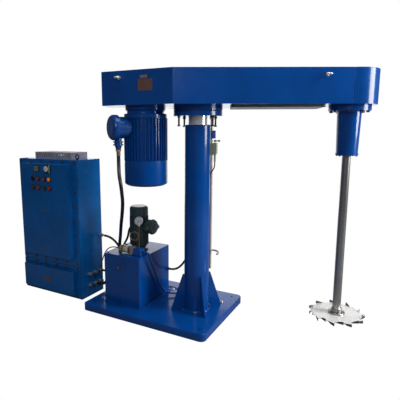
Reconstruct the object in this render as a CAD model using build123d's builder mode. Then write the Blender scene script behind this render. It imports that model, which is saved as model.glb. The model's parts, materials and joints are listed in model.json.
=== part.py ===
from build123d import *
from math import atan2, cos, degrees, hypot, pi, radians, sin, tan
import os

# High-speed mixer: a hydraulic lifting column carries a slewing head with a motor at one end
# and a spindle with a saw-tooth disc at the other. A tank with a pump unit stands on the same
# base plate, and a control cabinet stands beside it.
# Millimetres. The origin is on the column's axis at the floor, +Z is up and +X runs along the
# base plate's long side, away from the cabinet.

# Base plate
BASE_LENGTH = 1230
BASE_WIDTH = 880
BASE_T = 62
BASE_X = -338
BASE_CORNER_R = 45
ANCHOR_SPACING_X = 1070
ANCHOR_SPACING_Y = 730
ANCHOR_HOLE_R = 11

# Lifting column
COLUMN_R = 109.5
COLUMN_BORE_R = 95
COLUMN_TOP = 1668
GLAND_FLANGE_T = 12
GLAND_LENGTH = 120
WELD_LEG = 8
GUSSET_COUNT = 4
GUSSET_T = 12
GUSSET_FOOT_R = 232
GUSSET_TOP = 382
GUSSET_SNIPE = 25
PORT_R = 17
PORT_REACH = 135
DELIVERY_PORT_ANGLE = 150
DELIVERY_PORT_Z = 88
RETURN_PORT_ANGLE = 130
RETURN_PORT_Z = 520
FIT_GAP = 0.06
LOOSE = 0.1

# Ram and slewing rings
RAM_R = 80
RAM_BORE_R = 60
RAM_BOTTOM = 580
RAM_TOP = 1749
STOP_RING_T = 40
RING_R = 206
RING_T = 41
RING_GAP = 0.6
TRUNNION_R = 60
TRUNNION_TOP = 1925
CLAMP_BOLT_COUNT = 4
CLAMP_BOLT_CIRCLE_R = 194
CLAMP_BOLT_R = 8
CLAMP_BOLT_LENGTH = 84
CLAMP_BOLT_TURN = 40

# Guide rod and limit switch on the column's side
ROD_ANGLE = 53
ROD_PLACE_R = 135
ROD_R = 12
ROD_BOTTOM = 405
GUIDE_BLOCK_Z = (1566, 1633)
SWITCH_ANGLE = 8
SWITCH_PLACE_R = 152
SWITCH_SIZE = (36, 38, 92)
SWITCH_BOTTOM = 1440
LEVER_Z = 1547
LEVER_REACH = 34
TRIP_ARM_Z = 568
TRIP_BOSS_R = 18

# Head: everything here stands on a plane turned about the column
HEAD_TURN = 23.5
BEAM_BOTTOM = 1831
BEAM_TOP = 2100
BEAM_PLATE = 10
BEAM_WALL = 8
BEAM_END_X = -779
BEAM_END_HALF = 139
BEAM_SHOULDER_X = -179
BEAM_SHOULDER_HALF = 327
BEAM_SEAM_X = 1182
BEAM_SEAM_HALF = 203
HUB_R = 95
MOTOR_X = -444
SPINDLE_X = 1222

# Main motor, hanging from the beam
MOTOR_FLANGE_R = 170
MOTOR_NECK_R = 158
MOTOR_BELL_R = 183
MOTOR_ROOT_R = 170
MOTOR_FIN_R = 186
MOTOR_FIN_COUNT = 40
MOTOR_FIN_T = 5
MOTOR_BELL_TOP = 1770
MOTOR_BODY_TOP = 1746
MOTOR_BODY_BOTTOM = 1369
MOTOR_COWL_BOTTOM = 1166
MOTOR_SHAFT_R = 24
ROTOR_R = 108
STATOR_BORE_R = 110
STATOR_R = 150
TERMINAL_ANGLE = -145
TERMINAL_Z = 1655
TERMINAL_R = 104
TERMINAL_NECK_R = 89
TERMINAL_FROM = 262
TERMINAL_TO = 323
TERMINAL_GLAND_AT = 252
TERMINAL_GLAND_BOTTOM = 1424

# Belt drive
BELT_COUNT = 4
BELT_PITCH = 26
BELT_FIRST_Z = 1962
BELT_SECTION = (14, 13)
MOTOR_PULLEY_R = 112
SPINDLE_PULLEY_R = 128
GROOVE_DEPTH = 17
PULLEY_Z = (1942, 2060)

# Spindle
SPINDLE_FLANGE_R = 162
SPINDLE_FLANGE_T = 45
HOUSING_TOP_R = 93
HOUSING_BOTTOM_R = 84
HOUSING_BOTTOM = 1430
SHAFT_R = 34
SHAFT_TOP = 2068
BEARING_R = 68
BEARING_T = 40
FLANGE_BOLT_COUNT = 8

# Dispersing disc
DISC_Z = 60
DISC_T = 4
DISC_ROOT_R = 200
DISC_TIP_R = 226
TOOTH_COUNT = 20
TOOTH_HEIGHT = 24
TOOTH_RISE_SHARE = 0.88

# Hydraulic tank and pump unit
TANK_X = (-800, -409)
TANK_Y = (-301, 218)
TANK_TOP = 529
TANK_WALL = 6
LID_T = 10
PUMP_X = -590
PUMP_Y = -31
PUMP_MOTOR_R = 78
PUMP_FIN_R = 88
PUMP_FIN_COUNT = 24
PUMP_FIN_T = 4
PUMP_BODY_BOTTOM = 572
PUMP_BODY_TOP = 858
PUMP_MOTOR_TOP = 942
PUMP_BOX_Z = 755
PUMP_BOX_R = 66
MANIFOLD_X = (-512, -432)
MANIFOLD_Y = (-252, -172)
MANIFOLD_H = 66
VALVE_Y = -216
VALVE_AXIS_Z = 570
GAUGE_PLACE = (-480, -196)
GAUGE_Z = 830
GAUGE_R = 37
GAUGE_DEPTH = 30
GAUGE_FACING = -60
PIGTAIL_R = 42

# Control cabinet
CABINET_X = (-1871, -1099)
CABINET_Y = (-283, 37)
CABINET_H = 1363
CABINET_WALL = 5
COVER_SPLIT_Z = 331
COVER_T = 12
PAN_DEPTH = 50
PAN_SKIN = 5
PAN_TAPER = 8
UPPER_PAN_MARGIN = 66
LOWER_PAN_MARGIN = 42
COVER_BOLT_INSET = 36
COVER_BOLT_R = 11
COVER_BOLT_H = 8
DEVICE_X = (-1624, -1554, -1471, -1405)
LAMP_ROW_Z = 1175
BUTTON_ROW_Z = 1087
BUTTON_R = 10.5
BUTTON_TRAVEL = 3.5
BEZEL_R = 16.5
DISPLAY_X = (-1606, -1534)
DISPLAY_Z = (1244, 1305)
METER_X = (-1461, -1381)
METER_Z = (1236, 1316)
VENT_X = (-1737, -1247)
VENT_Y = (-205, 25)
VENT_H = 64
VENT_SLOT_COUNT = 14
GLAND_YS = (-165, -88, -12)
GLAND_ZS = (225, 112)
GLAND_REACH = 34
REAR_GLAND = (6, 590)

os.makedirs("parts", exist_ok=True)

MOTOR_TOP_Z = BEAM_BOTTOM
PAN_FRONT = CABINET_Y[0] - COVER_T - PAN_DEPTH


def turned(angle, x=0.0, y=0.0):
    """The point (x, y) turned by angle about the column."""
    a = radians(angle)
    return (x * cos(a) - y * sin(a), x * sin(a) + y * cos(a))


def flat(z, angle=0.0, x=0.0, y=0.0):
    """Level plane at height z, turned by angle, with its origin at (x, y) in the turned axes."""
    px, py = turned(angle, x, y)
    return Plane(origin=(px, py, z), x_dir=(cos(radians(angle)), sin(radians(angle)), 0), z_dir=(0, 0, 1))


def head(z, x=0.0, y=0.0):
    """Level plane of the slewing head, with its X along the beam."""
    return flat(z, HEAD_TURN, x, y)


def upright(angle, x=0.0, y=0.0, z=0.0):
    """Standing plane through (x, y): its X points out at angle, its Y is up."""
    a = radians(angle)
    return Plane(origin=(x, y, z), x_dir=(cos(a), sin(a), 0), z_dir=(sin(a), -cos(a), 0))


def outward(angle, x, y, z, reach=0.0):
    """Plane facing out at angle, reach away from the vertical line through (x, y)."""
    a = radians(angle)
    return Plane(origin=(x + reach * cos(a), y + reach * sin(a), z), x_dir=(-sin(a), cos(a), 0),
                 z_dir=(cos(a), sin(a), 0))


MOTOR_AXIS = turned(HEAD_TURN, MOTOR_X)
SPINDLE_AXIS = turned(HEAD_TURN, SPINDLE_X)
ROD_AXIS = turned(ROD_ANGLE, ROD_PLACE_R)


def save(name, part):
    part.label = name
    export_step(part, f"parts/{name}.step")


def revolve_profile(points, x=0.0, y=0.0):
    """Turned solid about the vertical line through (x, y), from (radius, height) points."""
    with BuildPart() as turned_part:
        with BuildSketch(Plane(origin=(x, y, 0), x_dir=(1, 0, 0), z_dir=(0, -1, 0))):
            with BuildLine():
                Polyline(*points, close=True)
            make_face()
        revolve(axis=Axis((x, y, 0), (0, 0, 1)))
    return turned_part.part


def tube_between(radius, bore, low, high, x=0.0, y=0.0):
    return revolve_profile([(bore, low), (radius, low), (radius, high), (bore, high)], x, y)


def cord_edges(points):
    """Straight runs joined by tangent arcs that are as large as their two runs allow."""
    route = [Vector(*p) for p in points]
    start = route[0]
    radii = []
    for before, corner, after in zip(route, route[1:], route[2:]):
        run_in = corner - before
        run_out = after - corner
        ahead = run_in.normalized()
        away = run_out.normalized()
        turn = radians(run_in.get_angle(run_out))
        setback = 0.45 * min(run_in.length, run_out.length)
        radius = setback / tan(turn / 2)
        arc_start = corner - ahead * setback
        arc_end = corner + away * setback
        side = (away - ahead * ahead.dot(away)).normalized()
        centre = arc_start + side * radius
        arc_middle = centre + (corner - centre).normalized() * radius
        Line(start, arc_start)
        ThreePointArc(arc_start, arc_middle, arc_end)
        start = arc_end
        radii.append(radius)
    Line(start, route[-1])
    return radii


def cord(name, points, diameter):
    """Tube of a hose or cable along its route, written to its own file."""
    first = Vector(*points[0])
    with BuildPart() as tube:
        with BuildLine() as path:
            radii = cord_edges(points)
        with BuildSketch(Plane(origin=first, z_dir=Vector(*points[1]) - first)):
            Circle(diameter / 2)
        sweep(path=path.wires()[0])
    length = path.wires()[0].length
    section = pi * diameter * diameter / 4
    print(f"{name}: length {length:.0f} mm, least radius {min(radii):.0f} mm,",
          f"volume share {tube.part.volume / (section * length):.3f}")
    save(name, tube.part)


# Base plate: a slab with rounded corners and four anchor holes
with BuildPart() as base_plate:
    with BuildSketch():
        with Locations((BASE_X, 0)):
            RectangleRounded(BASE_LENGTH, BASE_WIDTH, BASE_CORNER_R)
            with GridLocations(ANCHOR_SPACING_X, ANCHOR_SPACING_Y, 2, 2):
                Circle(ANCHOR_HOLE_R, mode=Mode.SUBTRACT)
    extrude(amount=BASE_T)
    top_rim = base_plate.faces().sort_by(Axis.Z)[-1].outer_wire().edges()
    chamfer(top_rim, length=4)
save("base_plate", base_plate.part)

# Column: a thick tube welded to the base, with two bosses for the oil lines
with BuildPart() as column_tube:
    with BuildSketch(Plane.XZ):
        with BuildLine():
            Polyline((COLUMN_BORE_R, BASE_T), (COLUMN_R + WELD_LEG, BASE_T),
                     (COLUMN_R, BASE_T + WELD_LEG), (COLUMN_R, COLUMN_TOP),
                     (COLUMN_BORE_R, COLUMN_TOP), close=True)
        make_face()
    revolve(axis=Axis.Z)
    for angle, height in ((DELIVERY_PORT_ANGLE, DELIVERY_PORT_Z), (RETURN_PORT_ANGLE, RETURN_PORT_Z)):
        with BuildSketch(outward(angle, 0, 0, height, PORT_REACH)):
            Circle(PORT_R)
        extrude(amount=COLUMN_R - PORT_REACH - 5)
save("column_tube", column_tube.part)

# Brackets welded to the column: four gusset plates on the base's diagonals, and the guide block
with BuildPart() as column_brackets:
    for index in range(GUSSET_COUNT):
        with BuildSketch(upright(45 + index * 360 / GUSSET_COUNT)):
            with BuildLine():
                Polyline((COLUMN_BORE_R, BASE_T + 14.5 + GUSSET_SNIPE),
                         (COLUMN_R + GUSSET_SNIPE, BASE_T),
                         (GUSSET_FOOT_R, BASE_T), (GUSSET_FOOT_R, BASE_T + 14),
                         (COLUMN_R + 18, GUSSET_TOP), (COLUMN_BORE_R, GUSSET_TOP), close=True)
            make_face()
        extrude(amount=GUSSET_T / 2, both=True)
    with BuildSketch(flat(0)):
        Circle(COLUMN_R)
    extrude(amount=GUSSET_TOP + 10, mode=Mode.SUBTRACT)
    with BuildSketch(flat(GUIDE_BLOCK_Z[0], ROD_ANGLE)):
        with Locations((ROD_PLACE_R - 8, 0)):
            RectangleRounded(72, 48, 6)
        Circle(COLUMN_R, mode=Mode.SUBTRACT)
        with Locations((ROD_PLACE_R, 0)):
            Circle(ROD_R + FIT_GAP, mode=Mode.SUBTRACT)
    extrude(amount=GUIDE_BLOCK_Z[1] - GUIDE_BLOCK_Z[0])
save("column_brackets", column_brackets.part)

# Ram guides: the gland at the column's top and the ring that the lowered ram stands on
with BuildPart() as ram_guides:
    add(revolve_profile([(RAM_R + FIT_GAP, COLUMN_TOP - GLAND_LENGTH),
                         (COLUMN_BORE_R - LOOSE, COLUMN_TOP - GLAND_LENGTH),
                         (COLUMN_BORE_R - LOOSE, COLUMN_TOP), (COLUMN_R, COLUMN_TOP),
                         (COLUMN_R, COLUMN_TOP + GLAND_FLANGE_T - 4),
                         (COLUMN_R - 4, COLUMN_TOP + GLAND_FLANGE_T),
                         (RAM_R + FIT_GAP, COLUMN_TOP + GLAND_FLANGE_T)]))
    add(tube_between(COLUMN_BORE_R - LOOSE, RAM_BORE_R, RAM_BOTTOM - 0.5 - STOP_RING_T,
                     RAM_BOTTOM - 0.5))
save("ram_guides", ram_guides.part)

# Ram: the chromed plunger
with BuildPart() as ram:
    add(revolve_profile([(RAM_BORE_R, RAM_BOTTOM), (RAM_R - 3, RAM_BOTTOM), (RAM_R, RAM_BOTTOM + 3),
                         (RAM_R, RAM_TOP), (RAM_BORE_R, RAM_TOP)]))
save("ram", ram.part)

# Lower slewing ring on the ram, with the trunnion that the head turns on
ring_top = RAM_TOP + RING_T
with BuildPart() as lower_ring:
    add(revolve_profile([(0, RAM_TOP - 30), (RAM_BORE_R - LOOSE, RAM_TOP - 30),
                         (RAM_BORE_R - LOOSE, RAM_TOP), (RING_R - 3, RAM_TOP), (RING_R, RAM_TOP + 3),
                         (RING_R, ring_top - 3), (RING_R - 3, ring_top), (TRUNNION_R, ring_top),
                         (TRUNNION_R, TRUNNION_TOP), (0, TRUNNION_TOP)]))
save("lower_ring", lower_ring.part)

# Upper slewing ring, with the hub that stands inside the beam
upper_bottom = ring_top + RING_GAP
hub_top = TRUNNION_TOP - 0.6
with BuildPart() as upper_ring:
    add(revolve_profile([(TRUNNION_R + FIT_GAP, upper_bottom), (RING_R - 3, upper_bottom),
                         (RING_R, upper_bottom + 3), (RING_R, BEAM_BOTTOM), (HUB_R, BEAM_BOTTOM),
                         (HUB_R, hub_top - 4), (HUB_R - 4, hub_top),
                         (TRUNNION_R + FIT_GAP, hub_top)]))
save("upper_ring", upper_ring.part)

# Clamp bolts that hang under the lower ring, and the plate that keeps the head on its trunnion
with BuildPart() as slew_fasteners:
    for index in range(CLAMP_BOLT_COUNT):
        angle = HEAD_TURN + CLAMP_BOLT_TURN + index * 360 / CLAMP_BOLT_COUNT
        bolt_end = RAM_TOP - CLAMP_BOLT_LENGTH
        for radius, sides, low, high in ((CLAMP_BOLT_R, 0, bolt_end, RAM_TOP),
                                         (14, 6, bolt_end, bolt_end + 11),
                                         (14, 6, RAM_TOP - 14, RAM_TOP)):
            with BuildSketch(flat(low, angle, CLAMP_BOLT_CIRCLE_R)):
                if sides:
                    RegularPolygon(radius, sides)
                else:
                    Circle(radius)
            extrude(amount=high - low)
    with BuildSketch(flat(TRUNNION_TOP)):
        Circle(TRUNNION_R + 18)
    extrude(amount=9)
    with BuildSketch(flat(TRUNNION_TOP + 9)):
        RegularPolygon(16, 6)
    extrude(amount=8)
save("slew_fasteners", slew_fasteners.part)

# Guide rod under the lower ring, with the curved arm that trips the limit switch
with BuildPart() as guide_rod:
    with BuildSketch(flat(ROD_BOTTOM, ROD_ANGLE, ROD_PLACE_R)):
        Circle(ROD_R)
    extrude(amount=RAM_TOP - ROD_BOTTOM)
    chamfer(guide_rod.edges().sort_by(Axis.Z)[0], length=2)
    with BuildSketch(flat(RAM_TOP - 22, ROD_ANGLE, ROD_PLACE_R)):
        RegularPolygon(22, 6)
    extrude(amount=22)
    with BuildSketch(flat(TRIP_ARM_Z, 0)):
        with BuildLine():
            tip = turned(SWITCH_ANGLE, SWITCH_PLACE_R + LEVER_REACH)
            Spline(ROD_AXIS, turned(40, 176), turned(24, 190), tip)
        trace(line_width=9)
        with Locations(turned(ROD_ANGLE, ROD_PLACE_R + TRIP_BOSS_R - ROD_R)):
            Circle(TRIP_BOSS_R)
        with Locations(tip):
            Circle(9)
    extrude(amount=14)
save("guide_rod", guide_rod.part)

# Limit switch: bracket plate on the column, body, head and cable gland
with BuildPart() as limit_switch:
    width, depth, height = SWITCH_SIZE
    with BuildSketch(flat(SWITCH_BOTTOM - 12, SWITCH_ANGLE)):
        with Locations(((COLUMN_R + SWITCH_PLACE_R - width / 2) / 2 - 3, 0)):
            Rectangle(SWITCH_PLACE_R - width / 2 - COLUMN_R + 6, depth - 8)
        Circle(COLUMN_R, mode=Mode.SUBTRACT)
    extrude(amount=height + 6)
    with BuildSketch(flat(SWITCH_BOTTOM, SWITCH_ANGLE, SWITCH_PLACE_R)):
        RectangleRounded(width, depth, 4)
    extrude(amount=height)
    with BuildSketch(flat(SWITCH_BOTTOM - 16, SWITCH_ANGLE, SWITCH_PLACE_R)):
        RegularPolygon(12, 6)
    extrude(amount=16)
    with BuildSketch(flat(SWITCH_BOTTOM - 64, SWITCH_ANGLE, SWITCH_PLACE_R)):
        Circle(9)
    extrude(amount=48)
save("limit_switch", limit_switch.part)

# Switch lever: arm with a roller, on a pin along the column's tangent
lever_pivot = turned(SWITCH_ANGLE, SWITCH_PLACE_R)
with BuildPart() as switch_lever:
    with BuildSketch(upright(SWITCH_ANGLE, *lever_pivot)):
        with BuildLine():
            Line((0, LEVER_Z), (LEVER_REACH, LEVER_Z))
        trace(line_width=9)
        with Locations((0, LEVER_Z)):
            Circle(11)
    extrude(amount=4, both=True)
    with BuildSketch(upright(SWITCH_ANGLE, *lever_pivot)):
        with Locations((LEVER_REACH, LEVER_Z)):
            Circle(9)
    extrude(amount=9, both=True)
save("switch_lever", switch_lever.part)

# Tank: welded box, open under its lid
tank_middle = ((TANK_X[0] + TANK_X[1]) / 2, (TANK_Y[0] + TANK_Y[1]) / 2)
tank_size = (TANK_X[1] - TANK_X[0], TANK_Y[1] - TANK_Y[0])
TANK_NIPPLE_Y = 176
TANK_NIPPLE_Z = 298
NIPPLE_REACH = 22
with BuildPart() as tank_shell:
    with BuildSketch(flat(BASE_T)):
        with Locations(tank_middle):
            RectangleRounded(*tank_size, 10)
    extrude(amount=TANK_TOP - LID_T - BASE_T)
    with BuildSketch(flat(BASE_T + TANK_WALL)):
        with Locations(tank_middle):
            RectangleRounded(tank_size[0] - 2 * TANK_WALL, tank_size[1] - 2 * TANK_WALL, 4)
    extrude(amount=TANK_TOP, mode=Mode.SUBTRACT)
    with BuildSketch(outward(0, TANK_X[1], TANK_NIPPLE_Y, TANK_NIPPLE_Z, NIPPLE_REACH)):
        Circle(15)
    extrude(amount=-NIPPLE_REACH)
save("tank_shell", tank_shell.part)

# Tank lid, with the opening that the pump hangs through
with BuildPart() as tank_lid:
    with BuildSketch(flat(TANK_TOP - LID_T)):
        with Locations(tank_middle):
            RectangleRounded(*tank_size, 10)
        with Locations((PUMP_X, PUMP_Y)):
            Circle(52, mode=Mode.SUBTRACT)
    extrude(amount=LID_T)
    chamfer(tank_lid.faces().sort_by(Axis.Z)[-1].outer_wire().edges(), length=1.5)
save("tank_lid", tank_lid.part)

# Filler cap, sight plug and drain plug
PLUG_X = -632
with BuildPart() as tank_plugs:
    for height, radius in ((416, 13), (92, 14)):
        with BuildSketch(outward(-90, PLUG_X, TANK_Y[0], height, 0)):
            RegularPolygon(radius, 6)
        extrude(amount=9)
        with BuildSketch(outward(-90, PLUG_X, TANK_Y[0], height, 9)):
            Circle(radius - 4)
        extrude(amount=4)
    with BuildSketch(flat(TANK_TOP, 0, TANK_X[0] + 62, TANK_Y[1] - 66)):
        Circle(24)
    extrude(amount=16)
    with BuildSketch(flat(TANK_TOP + 16, 0, TANK_X[0] + 62, TANK_Y[1] - 66)):
        Circle(36)
    extrude(amount=34)
    chamfer(tank_plugs.edges().group_by(Axis.Z)[-1], length=5)
save("tank_plugs", tank_plugs.part)

# Pump motor: foot flange, finned body, fan cowl and round terminal box
with BuildPart() as pump_motor:
    with BuildSketch(flat(TANK_TOP, 0, PUMP_X, PUMP_Y)):
        Circle(84)
    extrude(amount=14)
    add(revolve_profile([(0, TANK_TOP + 14), (58, TANK_TOP + 14), (PUMP_MOTOR_R, PUMP_BODY_BOTTOM),
                         (PUMP_MOTOR_R, PUMP_BODY_TOP), (PUMP_FIN_R - 2, PUMP_BODY_TOP),
                         (PUMP_FIN_R - 2, PUMP_MOTOR_TOP - 14), (PUMP_FIN_R - 16, PUMP_MOTOR_TOP),
                         (0, PUMP_MOTOR_TOP)], PUMP_X, PUMP_Y))
    with BuildSketch(flat(PUMP_BODY_BOTTOM + 8, 0, PUMP_X, PUMP_Y)):
        with PolarLocations((PUMP_MOTOR_R + PUMP_FIN_R) / 2 - 2, PUMP_FIN_COUNT, 360 / PUMP_FIN_COUNT / 2):
            Rectangle(PUMP_FIN_R - PUMP_MOTOR_R + 4, PUMP_FIN_T)
    extrude(amount=PUMP_BODY_TOP - PUMP_BODY_BOTTOM - 16)
    with BuildSketch(outward(0, PUMP_X, PUMP_Y, PUMP_BOX_Z, PUMP_MOTOR_R - 20)):
        Circle(PUMP_BOX_R - 16)
    extrude(amount=50)
    with BuildSketch(outward(0, PUMP_X, PUMP_Y, PUMP_BOX_Z, PUMP_FIN_R + 10)):
        Circle(PUMP_BOX_R)
    extrude(amount=74)
    fillet(pump_motor.faces().filter_by(Axis.X).sort_by(Axis.X)[-1].edges(), radius=10)
    with BuildSketch(outward(90, PUMP_X + PUMP_FIN_R + 46, PUMP_Y, PUMP_BOX_Z - 34, PUMP_BOX_R - 24)):
        Circle(18)
    extrude(amount=48)
save("pump_motor", pump_motor.part)
PUMP_CABLE_START = (PUMP_X + PUMP_FIN_R + 46, PUMP_Y + PUMP_BOX_R + 24, PUMP_BOX_Z - 34)

# Gear pump and suction strainer, hanging inside the tank
with BuildPart() as gear_pump:
    add(revolve_profile([(0, 170), (40, 170), (40, 290), (16, 290), (16, 330), (48, 330), (48, 470),
                         (30, 470), (30, TANK_TOP), (0, TANK_TOP)], PUMP_X, PUMP_Y))
    with BuildSketch(outward(0, PUMP_X, PUMP_Y, 410, 0)):
        Rectangle(80, 90)
    extrude(amount=62)
save("gear_pump", gear_pump.part)

# Valve manifold block, with ports and corner screws
manifold_middle = ((MANIFOLD_X[0] + MANIFOLD_X[1]) / 2, (MANIFOLD_Y[0] + MANIFOLD_Y[1]) / 2)
with BuildPart() as valve_manifold:
    with BuildSketch(flat(TANK_TOP)):
        with Locations(manifold_middle):
            Rectangle(MANIFOLD_X[1] - MANIFOLD_X[0], MANIFOLD_Y[1] - MANIFOLD_Y[0])
    extrude(amount=MANIFOLD_H)
    chamfer(valve_manifold.edges().filter_by(Axis.Z), length=3)
    with BuildSketch(flat(TANK_TOP + MANIFOLD_H, 0, *manifold_middle)):
        with GridLocations(56, 56, 2, 2):
            Circle(6)
    extrude(amount=6)
    with BuildSketch(outward(0, MANIFOLD_X[1], -206, 560, 0)):
        RegularPolygon(16, 6)
    extrude(amount=16)
save("valve_manifold", valve_manifold.part)

# Solenoid valve lying along the tank's front edge
with BuildPart() as solenoid_valve:
    with BuildSketch(outward(180, MANIFOLD_X[0], VALVE_Y, VALVE_AXIS_Z, 0)):
        Rectangle(52, 62)
    extrude(amount=44)
    with BuildSketch(outward(180, MANIFOLD_X[0], VALVE_Y, VALVE_AXIS_Z, 44)):
        Circle(33)
    extrude(amount=112)
    chamfer(solenoid_valve.faces().sort_by(Axis.X)[0].edges(), length=5)
    with BuildSketch(outward(180, MANIFOLD_X[0], VALVE_Y, VALVE_AXIS_Z, 156)):
        RegularPolygon(13, 6)
    extrude(amount=14)
    with BuildSketch(outward(180, MANIFOLD_X[0], VALVE_Y, VALVE_AXIS_Z, 170)):
        Circle(8)
    extrude(amount=12)
save("solenoid_valve", solenoid_valve.part)
VALVE_CABLE_START = (MANIFOLD_X[0] - 182, VALVE_Y, VALVE_AXIS_Z)

# Gauge pipe: riser with one pigtail turn that faces the operator
facing = radians(GAUGE_FACING)
across = (-sin(facing), cos(facing))
loop_middle_z = 698
route = [(0, 0, TANK_TOP + MANIFOLD_H), (0, 0, loop_middle_z - 52), (0, 1, loop_middle_z - 8)]
for step in range(1, 9):
    turn = radians(step * 45)
    route.append((-PIGTAIL_R + PIGTAIL_R * cos(turn), 1 + step * 2, loop_middle_z + PIGTAIL_R * sin(turn)))
route.append((0, 19, loop_middle_z + 44))
route.append((0, 19, GAUGE_Z - GAUGE_R - 4))
gauge_route = []
for sideways, back, height in route:
    gauge_route.append((GAUGE_PLACE[0] + sideways * across[0] - back * cos(facing),
                        GAUGE_PLACE[1] + sideways * across[1] - back * sin(facing), height))
cord("gauge_pipe", gauge_route, 10)
GAUGE_FOOT = gauge_route[-1]

# Pressure gauge: stem nut, case and bezel
with BuildPart() as pressure_gauge:
    with BuildSketch(flat(GAUGE_FOOT[2], 0, GAUGE_FOOT[0], GAUGE_FOOT[1])):
        RegularPolygon(11, 6)
    extrude(amount=16)
    case_back = -GAUGE_DEPTH / 2
    with BuildSketch(outward(GAUGE_FACING, GAUGE_FOOT[0], GAUGE_FOOT[1], GAUGE_Z + 8, case_back)):
        Circle(GAUGE_R - 2)
    extrude(amount=GAUGE_DEPTH)
    with BuildSketch(outward(GAUGE_FACING, GAUGE_FOOT[0], GAUGE_FOOT[1], GAUGE_Z + 8, case_back + 18)):
        Circle(GAUGE_R)
    extrude(amount=GAUGE_DEPTH - 14)
    with BuildSketch(outward(GAUGE_FACING, GAUGE_FOOT[0], GAUGE_FOOT[1], GAUGE_Z + 8, case_back + 31)):
        Circle(GAUGE_R - 4)
    extrude(amount=3, mode=Mode.SUBTRACT)
save("pressure_gauge", pressure_gauge.part)

# Painted delivery pipe: down the tank's right side, over the base and into the column
port = turned(DELIVERY_PORT_ANGLE, PORT_REACH)
before_port = turned(DELIVERY_PORT_ANGLE, PORT_REACH + 70)
cord("delivery_pipe", [(MANIFOLD_X[1] + 16, -206, 560), (MANIFOLD_X[1] + 62, -206, 560),
                       (-374, -182, 506), (-378, -128, 410), (-382, -58, 290), (-382, 18, 160),
                       (-362, 72, 98), (-318, 104, DELIVERY_PORT_Z), (-252, 132, DELIVERY_PORT_Z - 2),
                       (before_port[0], before_port[1], DELIVERY_PORT_Z), (*port, DELIVERY_PORT_Z)], 19)

# Black return hose from the tank to the column
port = turned(RETURN_PORT_ANGLE, PORT_REACH)
before_port = turned(RETURN_PORT_ANGLE, PORT_REACH + 58)
cord("return_hose", [(TANK_X[1] + NIPPLE_REACH, TANK_NIPPLE_Y, TANK_NIPPLE_Z),
                     (TANK_X[1] + 84, TANK_NIPPLE_Y, TANK_NIPPLE_Z), (-256, 184, 344), (-206, 196, 424),
                     (-162, 187, 490), (*before_port, RETURN_PORT_Z),
                     (*port, RETURN_PORT_Z)], 20)

# Cabinet body: a flanged box with two openings behind its covers
cabinet_w = CABINET_X[1] - CABINET_X[0]
cabinet_d = CABINET_Y[1] - CABINET_Y[0]
cabinet_middle = ((CABINET_X[0] + CABINET_X[1]) / 2, (CABINET_Y[0] + CABINET_Y[1]) / 2)
with BuildPart() as cabinet_shell:
    with BuildSketch(flat(0)):
        with Locations(cabinet_middle):
            RectangleRounded(cabinet_w, cabinet_d, 4)
    extrude(amount=CABINET_H)
    for low, high in ((CABINET_WALL, COVER_SPLIT_Z - 3), (COVER_SPLIT_Z + 3, CABINET_H - CABINET_WALL)):
        with BuildSketch(flat(low)):
            with Locations(cabinet_middle):
                Rectangle(cabinet_w - 2 * CABINET_WALL, cabinet_d - 2 * CABINET_WALL)
        extrude(amount=high - low, mode=Mode.SUBTRACT)
    for low, high, margin in ((50, 286, 52), (402, 1318, 76)):
        with BuildSketch(outward(-90, cabinet_middle[0], CABINET_Y[0], (low + high) / 2, 1)):
            Rectangle(cabinet_w - 2 * margin, high - low)
        extrude(amount=-20, mode=Mode.SUBTRACT)
save("cabinet_shell", cabinet_shell.part)


def cover(low, high, pan_low, pan_high, margin, holes=()):
    """Flat flange with a raised pan, hollow behind, and round holes through the pan."""
    with BuildPart() as pan_cover:
        with BuildSketch(outward(-90, cabinet_middle[0], CABINET_Y[0], (low + high) / 2, 0)):
            RectangleRounded(cabinet_w - 4, high - low, 5)
        extrude(amount=COVER_T)
        middle = (pan_low + pan_high) / 2
        angle = degrees(atan2(PAN_TAPER, PAN_DEPTH))
        with BuildSketch(outward(-90, cabinet_middle[0], CABINET_Y[0], middle, COVER_T)):
            Rectangle(cabinet_w - 2 * margin, pan_high - pan_low)
        extrude(amount=PAN_DEPTH, taper=angle)
        with BuildSketch(outward(-90, cabinet_middle[0], CABINET_Y[0], middle, 0)):
            Rectangle(cabinet_w - 2 * margin - 2 * PAN_SKIN - 20, pan_high - pan_low - 2 * PAN_SKIN - 20)
        extrude(amount=COVER_T + PAN_DEPTH - PAN_SKIN, mode=Mode.SUBTRACT)
        for x, z, radius in holes:
            with BuildSketch(outward(-90, x, CABINET_Y[0], z, COVER_T + PAN_DEPTH - PAN_SKIN)):
                Circle(radius)
            extrude(amount=PAN_SKIN, mode=Mode.SUBTRACT)
    return pan_cover.part


STEM_HOLE_R = 8
device_holes = [(x, BUTTON_ROW_Z, STEM_HOLE_R) for x in DEVICE_X]
device_holes.append((DEVICE_X[0], LAMP_ROW_Z, STEM_HOLE_R))
save("upper_cover", cover(COVER_SPLIT_Z + 2, CABINET_H - 2, 396, 1326, UPPER_PAN_MARGIN, device_holes))
save("lower_cover", cover(10, COVER_SPLIT_Z - 2, 44, 292, LOWER_PAN_MARGIN))


def eyebolt(plane):
    """Lifting eyebolt standing on a plane: collar, shank and ring."""
    ring_plane = Plane(origin=plane.origin + plane.z_dir * 32, x_dir=plane.x_dir, z_dir=plane.y_dir)
    ring = ring_plane * Torus(19, 6, mode=Mode.PRIVATE)
    with BuildPart() as bolt:
        with BuildSketch(plane):
            Circle(14)
        extrude(amount=7)
        with BuildSketch(plane.offset(7)):
            Circle(8)
        extrude(amount=10)
        add(ring)
    return bolt.part


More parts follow.
